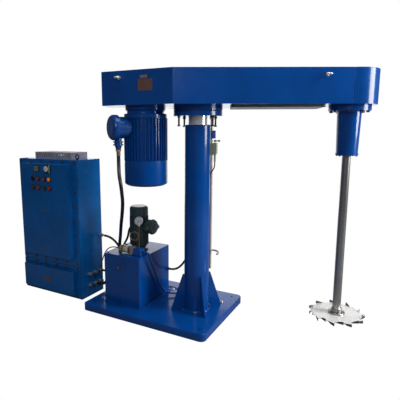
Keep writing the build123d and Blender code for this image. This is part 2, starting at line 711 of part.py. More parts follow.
# Cabinet fasteners: bolts round the two covers, and two lifting eyebolts on the roof
bolt_step = (cabinet_w - 2 * COVER_BOLT_INSET) / 5
bolt_xs = [CABINET_X[0] + COVER_BOLT_INSET + index * bolt_step for index in range(6)]
upper_zs = [362 + index * (1342 - 362) / 7 for index in range(8)]
lower_zs = [26, 168, 310]
bolt_places = [(x, z) for x in bolt_xs for z in (upper_zs[0], upper_zs[-1], lower_zs[0], lower_zs[-1])]
bolt_places += [(x, z) for x in (bolt_xs[0], bolt_xs[-1]) for z in upper_zs[1:-1]]
with BuildPart() as cabinet_fasteners:
    with BuildSketch(outward(-90, 0, CABINET_Y[0], 0, COVER_T)):
        with Locations(*bolt_places):
            RegularPolygon(COVER_BOLT_R, 6)
    extrude(amount=COVER_BOLT_H)
    add(eyebolt(flat(CABINET_H, 0, CABINET_X[1] - 24, CABINET_Y[0] + 30)))
    add(eyebolt(flat(CABINET_H, 0, CABINET_X[0] + 24, CABINET_Y[1] - 30)))
save("cabinet_fasteners", cabinet_fasteners.part)

# Ventilated box on the cabinet's roof
vent_middle = ((VENT_X[0] + VENT_X[1]) / 2, (VENT_Y[0] + VENT_Y[1]) / 2)
vent_size = (VENT_X[1] - VENT_X[0], VENT_Y[1] - VENT_Y[0])
with BuildPart() as vent_box:
    with BuildSketch(flat(CABINET_H)):
        with Locations(vent_middle):
            RectangleRounded(*vent_size, 3)
    extrude(amount=VENT_H)
    with BuildSketch(flat(CABINET_H + 3)):
        with Locations(vent_middle):
            Rectangle(vent_size[0] - 6, vent_size[1] - 6)
    extrude(amount=VENT_H - 6, mode=Mode.SUBTRACT)
    with BuildSketch(outward(-90, vent_middle[0], VENT_Y[0], CABINET_H + VENT_H / 2, 1)):
        with GridLocations(vent_size[0] / (VENT_SLOT_COUNT + 1), 1, VENT_SLOT_COUNT, 1):
            SlotOverall(40, 7, rotation=90)
    extrude(amount=-vent_size[1] - 2, mode=Mode.SUBTRACT)
save("vent_box", vent_box.part)

# Cable glands low on the cabinet's side, the last one open for the supply cable
with BuildPart() as cable_glands:
    gland_places = [(y, z) for z in GLAND_ZS for y in GLAND_YS]
    gland_places.append(REAR_GLAND)
    for y, z in gland_places:
        with BuildSketch(outward(0, CABINET_X[1], y, z, 0)):
            RegularPolygon(21, 6)
        extrude(amount=18)
        with BuildSketch(outward(0, CABINET_X[1], y, z, 18)):
            Circle(17)
        extrude(amount=GLAND_REACH - 18)
    with BuildSketch(outward(0, CABINET_X[1], GLAND_YS[0], GLAND_ZS[1], GLAND_REACH)):
        Circle(9)
    extrude(amount=-GLAND_REACH, mode=Mode.SUBTRACT)
save("cable_glands", cable_glands.part)

# Instruments: digital display and square meter, and the row of pilot lamps
with BuildPart() as panel_instruments:
    for xs, zs, depth in ((DISPLAY_X, DISPLAY_Z, 8), (METER_X, METER_Z, 14)):
        with BuildSketch(outward(-90, (xs[0] + xs[1]) / 2, PAN_FRONT, (zs[0] + zs[1]) / 2, 0)):
            RectangleRounded(xs[1] - xs[0], zs[1] - zs[0], 3)
        extrude(amount=depth)
    chamfer(panel_instruments.faces().filter_by(Axis.Y).group_by(Axis.Y)[0].edges(), length=2)
save("panel_instruments", panel_instruments.part)

with BuildPart() as pilot_lamps:
    for x in DEVICE_X[1:]:
        with BuildSketch(outward(-90, x, PAN_FRONT, LAMP_ROW_Z, 0)):
            Circle(BEZEL_R)
        extrude(amount=5)
        with BuildSketch(outward(-90, x, PAN_FRONT, LAMP_ROW_Z, 5)):
            Circle(BEZEL_R - 3)
        extrude(amount=9)
    chamfer(pilot_lamps.faces().filter_by(Axis.Y).group_by(Axis.Y)[0].edges(), length=3)
save("pilot_lamps", pilot_lamps.part)

# Bezels of the selector and the push-buttons
with BuildPart() as button_bezels:
    for x, z in [(x, BUTTON_ROW_Z) for x in DEVICE_X] + [(DEVICE_X[0], LAMP_ROW_Z)]:
        with BuildSketch(outward(-90, x, PAN_FRONT, z, 0)):
            Circle(BEZEL_R)
            Circle(BUTTON_R + 1, mode=Mode.SUBTRACT)
        extrude(amount=9)
save("button_bezels", button_bezels.part)

# Push-buttons: start and raise are green, stop and lower are red
for x, name in zip(DEVICE_X, ("start_button", "stop_button", "raise_button", "lower_button")):
    with BuildPart() as button:
        with BuildSketch(outward(-90, x, PAN_FRONT, BUTTON_ROW_Z, BUTTON_TRAVEL + 0.5)):
            Circle(BUTTON_R)
        extrude(amount=11)
        chamfer(button.faces().sort_by(Axis.Y)[0].edges(), length=1.5)
        with BuildSketch(outward(-90, x, PAN_FRONT, BUTTON_ROW_Z, BUTTON_TRAVEL + 0.5)):
            Circle(STEM_HOLE_R - 2)
        extrude(amount=-24)
    save(name, button.part)

# Selector switch: round base with a bar grip
with BuildPart() as selector_knob:
    with BuildSketch(outward(-90, DEVICE_X[0], PAN_FRONT, LAMP_ROW_Z, 3)):
        Circle(BUTTON_R)
    extrude(amount=8)
    with BuildSketch(outward(-90, DEVICE_X[0], PAN_FRONT, LAMP_ROW_Z, 11)):
        SlotOverall(2 * BUTTON_R - 2, 6, rotation=90)
    extrude(amount=10)
    with BuildSketch(outward(-90, DEVICE_X[0], PAN_FRONT, LAMP_ROW_Z, 3)):
        Circle(STEM_HOLE_R - 2)
    extrude(amount=-22)
save("selector_knob", selector_knob.part)


def beam_outline(inset, nose=False):
    """Outline of the beam in plan, shrunk by inset, with or without its round nose."""
    seam_half = BEAM_SEAM_HALF - inset
    shoulder_half = BEAM_SHOULDER_HALF - inset
    end_half = BEAM_END_HALF - inset * 0.75
    end_x = BEAM_END_X + inset
    with BuildSketch() as outline:
        with BuildLine():
            Polyline((BEAM_SEAM_X, -seam_half), (BEAM_SHOULDER_X, -shoulder_half), (end_x, -end_half),
                     (end_x, end_half), (BEAM_SHOULDER_X, shoulder_half), (BEAM_SEAM_X, seam_half))
            if nose:
                Line((BEAM_SEAM_X, seam_half), (SPINDLE_X, seam_half))
                ThreePointArc((SPINDLE_X, seam_half), (SPINDLE_X + seam_half, 0), (SPINDLE_X, -seam_half))
                Line((SPINDLE_X, -seam_half), (BEAM_SEAM_X, -seam_half))
            else:
                Line((BEAM_SEAM_X, seam_half), (BEAM_SEAM_X, -seam_half))
        make_face()
    return outline.sketch


def nose_outline(inset):
    """Outline of the round nose in front of the seam."""
    half = BEAM_SEAM_HALF - inset
    start = BEAM_SEAM_X + 2
    with BuildSketch() as outline:
        with BuildLine():
            Polyline((SPINDLE_X, -half), (start, -half), (start, half), (SPINDLE_X, half))
            ThreePointArc((SPINDLE_X, half), (SPINDLE_X + half, 0), (SPINDLE_X, -half))
        make_face()
    return outline.sketch


# Beam: bottom plate with openings for the hub, the motor and the spindle, and its side walls
wall_top = BEAM_TOP - BEAM_WALL
with BuildPart() as beam_shell:
    with BuildSketch(head(BEAM_BOTTOM)):
        add(beam_outline(0, nose=True))
        Circle(HUB_R + LOOSE, mode=Mode.SUBTRACT)
        with Locations((MOTOR_X, 0)):
            Circle(MOTOR_PULLEY_R + 12, mode=Mode.SUBTRACT)
        with Locations((SPINDLE_X, 0)):
            Circle(HOUSING_BOTTOM_R - 8, mode=Mode.SUBTRACT)
    extrude(amount=BEAM_PLATE)
    with BuildSketch(head(BEAM_BOTTOM + BEAM_PLATE)):
        add(beam_outline(0))
    extrude(amount=wall_top - BEAM_BOTTOM - BEAM_PLATE)
    with BuildSketch(head(BEAM_BOTTOM + BEAM_PLATE)):
        add(beam_outline(BEAM_WALL))
        with Locations((BEAM_SEAM_X, 0)):
            Rectangle(40, 2 * (BEAM_SEAM_HALF - BEAM_WALL))
    extrude(amount=BEAM_TOP, mode=Mode.SUBTRACT)
save("beam_shell", beam_shell.part)

# Beam cover: the top plate over the belts
with BuildPart() as beam_cover:
    with BuildSketch(head(wall_top)):
        add(beam_outline(0))
    extrude(amount=BEAM_WALL)
    chamfer(beam_cover.faces().sort_by(Axis.Z)[-1].outer_wire().edges(), length=1.5)
save("beam_cover", beam_cover.part)

# Nose cover: round wall and top over the spindle pulley
with BuildPart() as nose_cover:
    with BuildSketch(head(BEAM_BOTTOM + BEAM_PLATE)):
        add(nose_outline(0))
    extrude(amount=BEAM_TOP - BEAM_BOTTOM - BEAM_PLATE)
    chamfer(nose_cover.faces().sort_by(Axis.Z)[-1].outer_wire().edges(), length=1.5)
    with BuildSketch(head(BEAM_BOTTOM + BEAM_PLATE)):
        add(nose_outline(BEAM_WALL))
        with Locations((BEAM_SEAM_X, 0)):
            Rectangle(40, 2 * (BEAM_SEAM_HALF - BEAM_WALL))
    extrude(amount=wall_top - BEAM_BOTTOM - BEAM_PLATE, mode=Mode.SUBTRACT)
save("nose_cover", nose_cover.part)

# Lifting eyebolts on the beam's side walls
wall_run = BEAM_SEAM_X - BEAM_SHOULDER_X
wall_slope = degrees(atan2(BEAM_SHOULDER_HALF - BEAM_SEAM_HALF, wall_run))
end_slope = degrees(atan2(BEAM_SHOULDER_HALF - BEAM_END_HALF, BEAM_SHOULDER_X - BEAM_END_X))
EYE_LONG_X = 978
EYE_SHORT_X = -622
EYE_Z = 2045
long_half = BEAM_SHOULDER_HALF - (EYE_LONG_X - BEAM_SHOULDER_X) * tan(radians(wall_slope))
short_half = BEAM_END_HALF + (EYE_SHORT_X - BEAM_END_X) * tan(radians(end_slope))
with BuildPart() as beam_eyebolts:
    for side in (-1, 1):
        for x, half, slope in ((EYE_LONG_X, long_half, wall_slope), (EYE_SHORT_X, short_half, -end_slope)):
            px, py = turned(HEAD_TURN, x, side * half)
            add(eyebolt(outward(HEAD_TURN + side * (90 - slope), px, py, EYE_Z)))
save("beam_eyebolts", beam_eyebolts.part)

# Motor end bell: mounting flange, neck and shoulder, with a bearing seat
with BuildPart() as motor_end_bell:
    add(revolve_profile([(MOTOR_SHAFT_R + 6, MOTOR_TOP_Z), (MOTOR_FLANGE_R, MOTOR_TOP_Z),
                         (MOTOR_FLANGE_R, MOTOR_TOP_Z - 30), (MOTOR_NECK_R, MOTOR_TOP_Z - 42),
                         (MOTOR_NECK_R, MOTOR_BELL_TOP + 4), (MOTOR_BELL_R - 4, MOTOR_BELL_TOP),
                         (MOTOR_BELL_R, MOTOR_BELL_TOP - 6), (MOTOR_BELL_R, MOTOR_BODY_TOP),
                         (BEARING_R, MOTOR_BODY_TOP), (BEARING_R, MOTOR_BODY_TOP + 28),
                         (MOTOR_SHAFT_R + 6, MOTOR_BODY_TOP + 28)], *MOTOR_AXIS))
save("motor_end_bell", motor_end_bell.part)

# Motor housing: finned barrel with end rings and a lower end shield
barrel_bore_r = STATOR_R + LOOSE
with BuildPart() as motor_housing:
    add(revolve_profile([(barrel_bore_r, MOTOR_BODY_TOP), (MOTOR_FIN_R - 3, MOTOR_BODY_TOP),
                         (MOTOR_FIN_R - 3, MOTOR_BODY_TOP - 14), (MOTOR_ROOT_R, MOTOR_BODY_TOP - 14),
                         (MOTOR_ROOT_R, MOTOR_BODY_BOTTOM + 14), (MOTOR_FIN_R - 3, MOTOR_BODY_BOTTOM + 14),
                         (MOTOR_FIN_R - 3, MOTOR_BODY_BOTTOM), (MOTOR_SHAFT_R + 6, MOTOR_BODY_BOTTOM),
                         (MOTOR_SHAFT_R + 6, MOTOR_BODY_BOTTOM + 4), (BEARING_R, MOTOR_BODY_BOTTOM + 4),
                         (BEARING_R, MOTOR_BODY_BOTTOM + 30), (barrel_bore_r, MOTOR_BODY_BOTTOM + 30)],
                        *MOTOR_AXIS))
    with BuildSketch(head(MOTOR_BODY_BOTTOM + 10, MOTOR_X)):
        with PolarLocations((MOTOR_ROOT_R + MOTOR_FIN_R) / 2 - 2, MOTOR_FIN_COUNT):
            Rectangle(MOTOR_FIN_R - MOTOR_ROOT_R + 4, MOTOR_FIN_T)
    extrude(amount=MOTOR_BODY_TOP - MOTOR_BODY_BOTTOM - 20)
save("motor_housing", motor_housing.part)

# Stator core inside the barrel
with BuildPart() as stator_core:
    add(tube_between(STATOR_R, STATOR_BORE_R, MOTOR_BODY_BOTTOM + 60, MOTOR_BODY_TOP - 60, *MOTOR_AXIS))
save("stator_core", stator_core.part)

# Fan cowl: thin bowl with rings of air holes in its bottom
cowl_skin = 4
with BuildPart() as fan_cowl:
    with BuildSketch(Plane(origin=(*MOTOR_AXIS, 0), x_dir=(1, 0, 0), z_dir=(0, -1, 0))):
        with BuildLine():
            Polyline((0, MOTOR_COWL_BOTTOM + cowl_skin), (0, MOTOR_COWL_BOTTOM), (130, MOTOR_COWL_BOTTOM))
            ThreePointArc((130, MOTOR_COWL_BOTTOM), (160, MOTOR_COWL_BOTTOM + 3),
                          (MOTOR_FIN_R - 14, MOTOR_COWL_BOTTOM + 10))
            ThreePointArc((MOTOR_FIN_R - 14, MOTOR_COWL_BOTTOM + 10),
                          (MOTOR_FIN_R - 4, MOTOR_COWL_BOTTOM + 17), (MOTOR_FIN_R, MOTOR_COWL_BOTTOM + 28))
            Polyline((MOTOR_FIN_R, MOTOR_COWL_BOTTOM + 28), (MOTOR_FIN_R, MOTOR_BODY_BOTTOM),
                     (MOTOR_FIN_R - cowl_skin, MOTOR_BODY_BOTTOM),
                     (MOTOR_FIN_R - cowl_skin, MOTOR_COWL_BOTTOM + 28),
                     (MOTOR_FIN_R - 18, MOTOR_COWL_BOTTOM + 14), (130, MOTOR_COWL_BOTTOM + cowl_skin),
                     (0, MOTOR_COWL_BOTTOM + cowl_skin))
        make_face()
    revolve(axis=Axis((*MOTOR_AXIS, 0), (0, 0, 1)))
    with BuildSketch(head(MOTOR_COWL_BOTTOM - 1, MOTOR_X)):
        for ring_r, count in ((44, 8), (72, 14), (100, 20)):
            with PolarLocations(ring_r, count):
                Circle(8)
    extrude(amount=cowl_skin + 2, mode=Mode.SUBTRACT)
save("fan_cowl", fan_cowl.part)

# Round terminal box with its neck, domed lid and hanging cable gland
box_angle = HEAD_TURN + TERMINAL_ANGLE
gland_x = MOTOR_AXIS[0] + TERMINAL_GLAND_AT * cos(radians(box_angle))
gland_y = MOTOR_AXIS[1] + TERMINAL_GLAND_AT * sin(radians(box_angle))
with BuildPart() as motor_terminal_box:
    with BuildSketch(outward(box_angle, *MOTOR_AXIS, TERMINAL_Z, MOTOR_FIN_R - 24)):
        Circle(TERMINAL_NECK_R)
    extrude(amount=TERMINAL_FROM - MOTOR_FIN_R + 24)
    with BuildSketch(flat(TERMINAL_Z - TERMINAL_R, 0, *MOTOR_AXIS)):
        Circle(MOTOR_FIN_R + LOOSE)
    extrude(amount=2 * TERMINAL_R, mode=Mode.SUBTRACT)
    with BuildSketch(outward(box_angle, *MOTOR_AXIS, TERMINAL_Z, TERMINAL_FROM)):
        Circle(TERMINAL_R)
    extrude(amount=TERMINAL_TO - TERMINAL_FROM)
    lid_rim = motor_terminal_box.edges().filter_by(GeomType.CIRCLE).sort_by(
        lambda e: (e.center() - Vector(*MOTOR_AXIS, TERMINAL_Z)).length)[-1]
    fillet(lid_rim, radius=34)
    add(revolve_profile([(0, TERMINAL_Z - 40), (30, TERMINAL_Z - 40), (30, 1545), (42, 1545), (42, 1534),
                         (33, 1534), (33, 1521), (42, 1521), (42, 1510), (30, 1510), (20, 1476),
                         (23, 1476), (23, 1462), (17, 1462), (17, TERMINAL_GLAND_BOTTOM),
                         (0, TERMINAL_GLAND_BOTTOM)], gland_x, gland_y))
save("motor_terminal_box", motor_terminal_box.part)

# Spindle housing: flange under the beam, tapered barrel and bottom cap
housing_top = BEAM_BOTTOM - SPINDLE_FLANGE_T
with BuildPart() as spindle_housing:
    add(revolve_profile([(BEARING_R, BEAM_BOTTOM), (SPINDLE_FLANGE_R, BEAM_BOTTOM),
                         (SPINDLE_FLANGE_R, housing_top), (HOUSING_TOP_R + 6, housing_top),
                         (HOUSING_TOP_R, housing_top - 8), (HOUSING_BOTTOM_R, HOUSING_BOTTOM + 20),
                         (HOUSING_BOTTOM_R + 4, HOUSING_BOTTOM + 20),
                         (HOUSING_BOTTOM_R + 4, HOUSING_BOTTOM + 4),
                         (HOUSING_BOTTOM_R, HOUSING_BOTTOM), (SHAFT_R + 3, HOUSING_BOTTOM),
                         (SHAFT_R + 3, HOUSING_BOTTOM + 14), (BEARING_R, HOUSING_BOTTOM + 14),
                         (BEARING_R, HOUSING_BOTTOM + 14 + BEARING_T), (BEARING_R - 8, HOUSING_BOTTOM + 60),
                         (BEARING_R - 8, BEAM_BOTTOM - 50), (BEARING_R, BEAM_BOTTOM - BEARING_T)],
                        *SPINDLE_AXIS))
save("spindle_housing", spindle_housing.part)

# Bolts of the spindle flange, the housing's cap and the motor flange
with BuildPart() as flange_bolts:
    for x, circle_r, low, count, radius in ((SPINDLE_X, 138, housing_top - 12, FLANGE_BOLT_COUNT, 14),
                                            (SPINDLE_X, 76, HOUSING_BOTTOM - 7, 6, 7)):
        with BuildSketch(head(low, x)):
            with PolarLocations(circle_r, count, 360 / count / 2):
                RegularPolygon(radius, 6)
        extrude(amount=12 if radius > 7 else 7)
save("flange_bolts", flange_bolts.part)

# Bearings of the spindle and the motor, as rings round their shafts
with BuildPart() as shaft_bearings:
    for shaft_r, low, height, axis in (
            (SHAFT_R, HOUSING_BOTTOM + 14, BEARING_T, SPINDLE_AXIS),
            (SHAFT_R, BEAM_BOTTOM - BEARING_T, BEARING_T, SPINDLE_AXIS),
            (MOTOR_SHAFT_R, MOTOR_BODY_TOP, 26, MOTOR_AXIS),
            (MOTOR_SHAFT_R, MOTOR_BODY_BOTTOM + 4, 26, MOTOR_AXIS)):
        add(tube_between(BEARING_R - LOOSE, shaft_r + FIT_GAP, low, low + height, *axis))
save("shaft_bearings", shaft_bearings.part)


def pulley_points(radius, bore):
    """Half section of a pulley with one groove for each belt."""
    points = [(bore, PULLEY_Z[0]), (radius, PULLEY_Z[0])]
    for index in range(BELT_COUNT):
        middle = BELT_FIRST_Z + index * BELT_PITCH
        points += [(radius, middle - 11), (radius - GROOVE_DEPTH, middle - 8),
                   (radius - GROOVE_DEPTH, middle + 8), (radius, middle + 11)]
    return points + [(radius, PULLEY_Z[1]), (bore, PULLEY_Z[1])]


with BuildPart() as motor_pulley:
    add(revolve_profile(pulley_points(MOTOR_PULLEY_R, MOTOR_SHAFT_R), *MOTOR_AXIS))
save("motor_pulley", motor_pulley.part)

with BuildPart() as spindle_pulley:
    add(revolve_profile(pulley_points(SPINDLE_PULLEY_R, SHAFT_R), *SPINDLE_AXIS))
save("spindle_pulley", spindle_pulley.part)

# Belts: closed loops round both pulleys, clear of the groove walls
belt_gap = 2
belt_depth, belt_height = BELT_SECTION


def belt_loop(outer):
    """Tangent outline round the two pulleys, at the belt's outer or inner face."""
    spare = belt_gap - GROOVE_DEPTH + (belt_depth if outer else 0)
    small = MOTOR_PULLEY_R + spare
    large = SPINDLE_PULLEY_R + spare
    distance = SPINDLE_X - MOTOR_X
    lean = (large - small) / distance
    rise = (1 - lean * lean) ** 0.5
    small_top = (MOTOR_X - small * lean, small * rise)
    large_top = (SPINDLE_X - large * lean, large * rise)
    with BuildSketch() as outline:
        with BuildLine():
            Line(small_top, large_top)
            ThreePointArc(large_top, (SPINDLE_X + large, 0), (large_top[0], -large_top[1]))
            Line((large_top[0], -large_top[1]), (small_top[0], -small_top[1]))
            ThreePointArc((small_top[0], -small_top[1]), (MOTOR_X - small, 0), small_top)
        make_face()
    return outline.sketch


with BuildPart() as drive_belts:
    for index in range(BELT_COUNT):
        with BuildSketch(head(BELT_FIRST_Z + index * BELT_PITCH - belt_height / 2)):
            add(belt_loop(outer=True))
            add(belt_loop(outer=False), mode=Mode.SUBTRACT)
        extrude(amount=belt_height)
save("drive_belts", drive_belts.part)

# Rotor with its shaft, and the fan under it
with BuildPart() as rotor:
    add(revolve_profile([(0, 1240), (MOTOR_SHAFT_R, 1240), (MOTOR_SHAFT_R, MOTOR_BODY_BOTTOM + 70),
                         (ROTOR_R, MOTOR_BODY_BOTTOM + 70), (ROTOR_R, MOTOR_BODY_TOP - 70),
                         (MOTOR_SHAFT_R, MOTOR_BODY_TOP - 70), (MOTOR_SHAFT_R, 2066), (0, 2066)], *MOTOR_AXIS))
save("rotor", rotor.part)

FAN_Z = 1256
with BuildPart() as cooling_fan:
    with BuildSketch(head(FAN_Z, MOTOR_X)):
        Circle(46)
        Circle(MOTOR_SHAFT_R, mode=Mode.SUBTRACT)
    extrude(amount=60)
    with BuildSketch(head(FAN_Z + 50, MOTOR_X)):
        Circle(150)
        Circle(MOTOR_SHAFT_R, mode=Mode.SUBTRACT)
    extrude(amount=5)
    with BuildSketch(head(FAN_Z, MOTOR_X)):
        with PolarLocations(96, 8):
            Rectangle(106, 5)
    extrude(amount=52)
save("cooling_fan", cooling_fan.part)

# Mixer shaft with the clamp flange that the disc is bolted under
with BuildPart() as mixer_shaft:
    add(revolve_profile([(0, DISC_Z + DISC_T / 2), (69, DISC_Z + DISC_T / 2), (69, DISC_Z + 13),
                         (66, DISC_Z + 16), (46, DISC_Z + 18), (42, DISC_Z + 48), (SHAFT_R, DISC_Z + 56),
                         (SHAFT_R, SHAFT_TOP - 4), (SHAFT_R - 4, SHAFT_TOP), (0, SHAFT_TOP)], *SPINDLE_AXIS))
save("mixer_shaft", mixer_shaft.part)

with BuildPart() as disc_nut:
    add(revolve_profile([(0, DISC_Z - 18), (48, DISC_Z - 18), (52, DISC_Z - 14), (52, DISC_Z - DISC_T / 2),
                         (0, DISC_Z - DISC_T / 2)], *SPINDLE_AXIS))
    with BuildSketch(head(DISC_Z - 36, SPINDLE_X)):
        RegularPolygon(30, 6)
    extrude(amount=20)
save("disc_nut", disc_nut.part)

# Saw-tooth disc: a ratchet outline with a vane on each tooth, bent up and down by turns
tooth_turn = 360 / TOOTH_COUNT


def rim_point(radius, angle):
    return (radius * cos(radians(angle)), radius * sin(radians(angle)))


with BuildPart() as disperser_disc:
    with BuildSketch(head(DISC_Z - DISC_T / 2, SPINDLE_X)):
        with BuildLine():
            rim = []
            for index in range(TOOTH_COUNT):
                start = index * tooth_turn
                rim.append(rim_point(DISC_ROOT_R, start))
                rim.append(rim_point(DISC_TIP_R, start + tooth_turn * TOOTH_RISE_SHARE))
            Polyline(*rim, close=True)
        make_face()
    extrude(amount=DISC_T)
    for index in range(TOOTH_COUNT):
        root = rim_point(DISC_ROOT_R, index * tooth_turn)
        tip = rim_point(DISC_TIP_R, index * tooth_turn + tooth_turn * TOOTH_RISE_SHARE)
        edge_angle = degrees(atan2(tip[1] - root[1], tip[0] - root[0]))
        edge_length = hypot(tip[0] - root[0], tip[1] - root[1])
        up = 1 if index % 2 == 0 else -1
        corner = turned(HEAD_TURN, SPINDLE_X + root[0], root[1])
        with BuildSketch(upright(HEAD_TURN + edge_angle, *corner, DISC_Z)):
            with BuildLine():
                Polyline((0, 0), (edge_length, 0), (edge_length, up * TOOTH_HEIGHT),
                         (edge_length * 0.45, up * TOOTH_HEIGHT * 0.72), close=True)
            make_face()
        extrude(amount=-DISC_T)
save("disperser_disc", disperser_disc.part)

# Main motor conduit: from the terminal box's gland down beside the tank to the cabinet
cord("motor_conduit", [(gland_x, gland_y, TERMINAL_GLAND_BOTTOM), (gland_x, gland_y, 1348),
                       (-522, -412, 1266), (-490, -432, 1186), (-504, -402, 1106), (-548, -334, 1022),
                       (-616, -256, 900), (-700, -165, 775),
                       (-782, -70, 640), (-846, -6, 505), (-884, 4, 360), (-908, -18, 235),
                       (-952, -58, 150), (-1008, GLAND_YS[1], GLAND_ZS[1]),
                       (CABINET_X[1] + GLAND_REACH, GLAND_YS[1], GLAND_ZS[1])], 31)

# Pump motor cable: round behind the motor, over the tank's edge and into the cabinet
cord("pump_cable", [PUMP_CABLE_START, (PUMP_CABLE_START[0], 112, PUMP_CABLE_START[2]), (-506, 162, 728),
                    (-584, 178, 742), (-662, 152, 754), (-722, 92, 744), (-760, 48, 690), (-776, 50, 622),
                    (-812, 76, 566), (-862, 90, 500), (-898, 86, 410), (-924, 66, 322), (-966, 26, 256),
                    (-1016, GLAND_YS[2], GLAND_ZS[0]),
                    (CABINET_X[1] + GLAND_REACH, GLAND_YS[2], GLAND_ZS[0])], 22)

# Thin valve cable across the tank's front corner
cord("valve_cable", [VALVE_CABLE_START, (-732, VALVE_Y, VALVE_AXIS_Z), (-774, -222, 567), (-812, -236, 545),
                     (-832, -254, 500), (-848, -264, 444), (-872, -260, 388), (-908, -240, 334),
                     (-950, -212, 280), (-986, -184, 246), (-1022, GLAND_YS[0], GLAND_ZS[0]),
                     (CABINET_X[1] + GLAND_REACH, GLAND_YS[0], GLAND_ZS[0])], 10)

# Switch cable: out of the cabinet, behind the tank, up the column's back and round inside the
# guide rod to the limit switch
switch_foot = turned(SWITCH_ANGLE, SWITCH_PLACE_R)
cord("switch_cable", [(CABINET_X[1] + GLAND_REACH, *REAR_GLAND), (-1020, *REAR_GLAND), (-976, 26, 572),
                      (-938, 62, 522), (-912, 100, 440), (-892, 140, 336), (-872, 186, 228), (-836, 236, 136),
                      (-764, 272, 84), (-660, 284, 69), (-550, 280, 69), (-440, 286, 69), (-334, 274, 69),
                      (-242, 240, 78), (-164, 200, 122), (-108, 170, 204), (-70, 148, 312), (-48, 134, 430),
                      (-34, 128, 552), (-30, 126, 676), (-26, 127, 800), (-18, 124, 920), (-4, 120, 1020),
                      (26, 114, 1092), (51.1, 104.7, 1148), (70.1, 93, 1196), (86.6, 77.9, 1238),
                      (100.9, 58.3, 1272), (124, 38, 1298), (switch_foot[0] - 6, switch_foot[1] + 6, 1324),
                      (switch_foot[0], switch_foot[1], 1350),
                      (switch_foot[0], switch_foot[1], SWITCH_BOTTOM - 64)], 10)
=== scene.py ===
"""High-speed mixer with a hydraulic lift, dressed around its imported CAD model."""
import json
import math

import bmesh
import bpy
from mathutils import Matrix, Vector


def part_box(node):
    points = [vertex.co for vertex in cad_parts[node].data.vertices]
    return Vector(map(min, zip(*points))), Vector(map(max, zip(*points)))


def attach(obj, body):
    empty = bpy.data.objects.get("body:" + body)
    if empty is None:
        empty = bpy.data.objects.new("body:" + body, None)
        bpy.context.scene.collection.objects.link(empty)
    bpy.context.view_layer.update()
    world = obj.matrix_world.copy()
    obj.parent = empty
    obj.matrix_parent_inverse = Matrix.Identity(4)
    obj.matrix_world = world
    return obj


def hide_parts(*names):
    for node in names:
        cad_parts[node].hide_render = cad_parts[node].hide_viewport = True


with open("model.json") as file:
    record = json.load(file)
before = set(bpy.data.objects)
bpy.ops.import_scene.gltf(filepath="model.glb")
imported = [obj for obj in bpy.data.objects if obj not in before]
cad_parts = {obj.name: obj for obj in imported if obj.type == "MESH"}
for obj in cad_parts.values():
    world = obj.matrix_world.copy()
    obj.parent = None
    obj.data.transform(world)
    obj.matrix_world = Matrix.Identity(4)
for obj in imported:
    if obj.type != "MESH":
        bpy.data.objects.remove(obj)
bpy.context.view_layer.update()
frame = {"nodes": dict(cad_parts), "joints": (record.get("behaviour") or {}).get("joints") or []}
NODES = frame["nodes"]
JOINTS = {joint["name"]: joint for joint in frame["joints"]}

# The head is turned about the column, whose axis is the frame's Z axis
HEAD_TURN = math.radians(23.5)
MOTOR_AXIS = Vector(JOINTS["motor_spin"]["pos_m"]).to_2d()
SPINDLE_AXIS = Vector(JOINTS["spindle_spin"]["pos_m"]).to_2d()

# Camera, fitted to the photograph
CAMERA_PLACE = (1.4538, -3.0072, 1.6)
CAMERA_AZIMUTH = -28.97
CAMERA_PITCH = -8.71
CAMERA_LENS = 35.13
CAMERA_SENSOR = 36.0
CAMERA_SHIFT = (0.0603, -0.0143)


def set_camera():
    data = bpy.data.cameras.new("camera")
    data.lens = CAMERA_LENS
    data.sensor_width = CAMERA_SENSOR
    data.shift_x, data.shift_y = CAMERA_SHIFT
    data.clip_end = 50
    camera = bpy.data.objects.new("camera", data)
    bpy.context.scene.collection.objects.link(camera)
    camera.location = CAMERA_PLACE
    camera.rotation_euler = (math.radians(90 + CAMERA_PITCH), 0, math.radians(-CAMERA_AZIMUTH))
    bpy.context.scene.camera = camera


def area_light(name, place, target, size, power, colour=(1, 1, 1)):
    data = bpy.data.lights.new(name, "AREA")
    data.shape = "RECTANGLE"
    data.size, data.size_y = size
    data.energy = power
    data.color = colour
    light = bpy.data.objects.new(name, data)
    bpy.context.scene.collection.objects.link(light)
    light.location = place
    light.visible_camera = False
    light.rotation_euler = (Vector(target) - Vector(place)).to_track_quat("-Z", "Y").to_euler()


def set_lights():
    """A white backdrop with dimmer surroundings, a large key light on the right and weak fill lights."""
    bpy.context.scene.view_settings.view_transform = "Standard"
    world = bpy.data.worlds.new("studio")
    bpy.context.scene.world = world
    world.use_nodes = True
    tree = world.node_tree
    tree.nodes.clear()
    output = tree.nodes.new("ShaderNodeOutputWorld")
    chosen = tree.nodes.new("ShaderNodeMixShader")
    rays = tree.nodes.new("ShaderNodeLightPath")
    seen = tree.nodes.new("ShaderNodeBackground")
    seen.inputs["Strength"].default_value = 1.0
    seen.inputs["Color"].default_value = (1, 1, 1, 1)
    around = tree.nodes.new("ShaderNodeBackground")
    around.inputs["Strength"].default_value = 0.12
    around.inputs["Color"].default_value = (0.86, 0.90, 1.0, 1)
    tree.links.new(rays.outputs["Is Camera Ray"], chosen.inputs["Fac"])
    tree.links.new(around.outputs[0], chosen.inputs[1])
    tree.links.new(seen.outputs[0], chosen.inputs[2])
    tree.links.new(chosen.outputs[0], output.inputs[0])
    area_light("key", (4.8, 1.0, 2.8), (0, 0, 1.0), (1.8, 3.0), 300)
    area_light("fill", (1.4, -5.6, 3.8), (-0.3, 0, 1.0), (2.4, 2.0), 85)
    area_light("top", (0.2, 0.2, 4.8), (0, 0, 1.0), (3.4, 2.4), 110)
    area_light("wall", (-2.2, 4.8, 1.2), (-0.2, 0, 0.9), (8.0, 2.6), 85)


# Shader building blocks

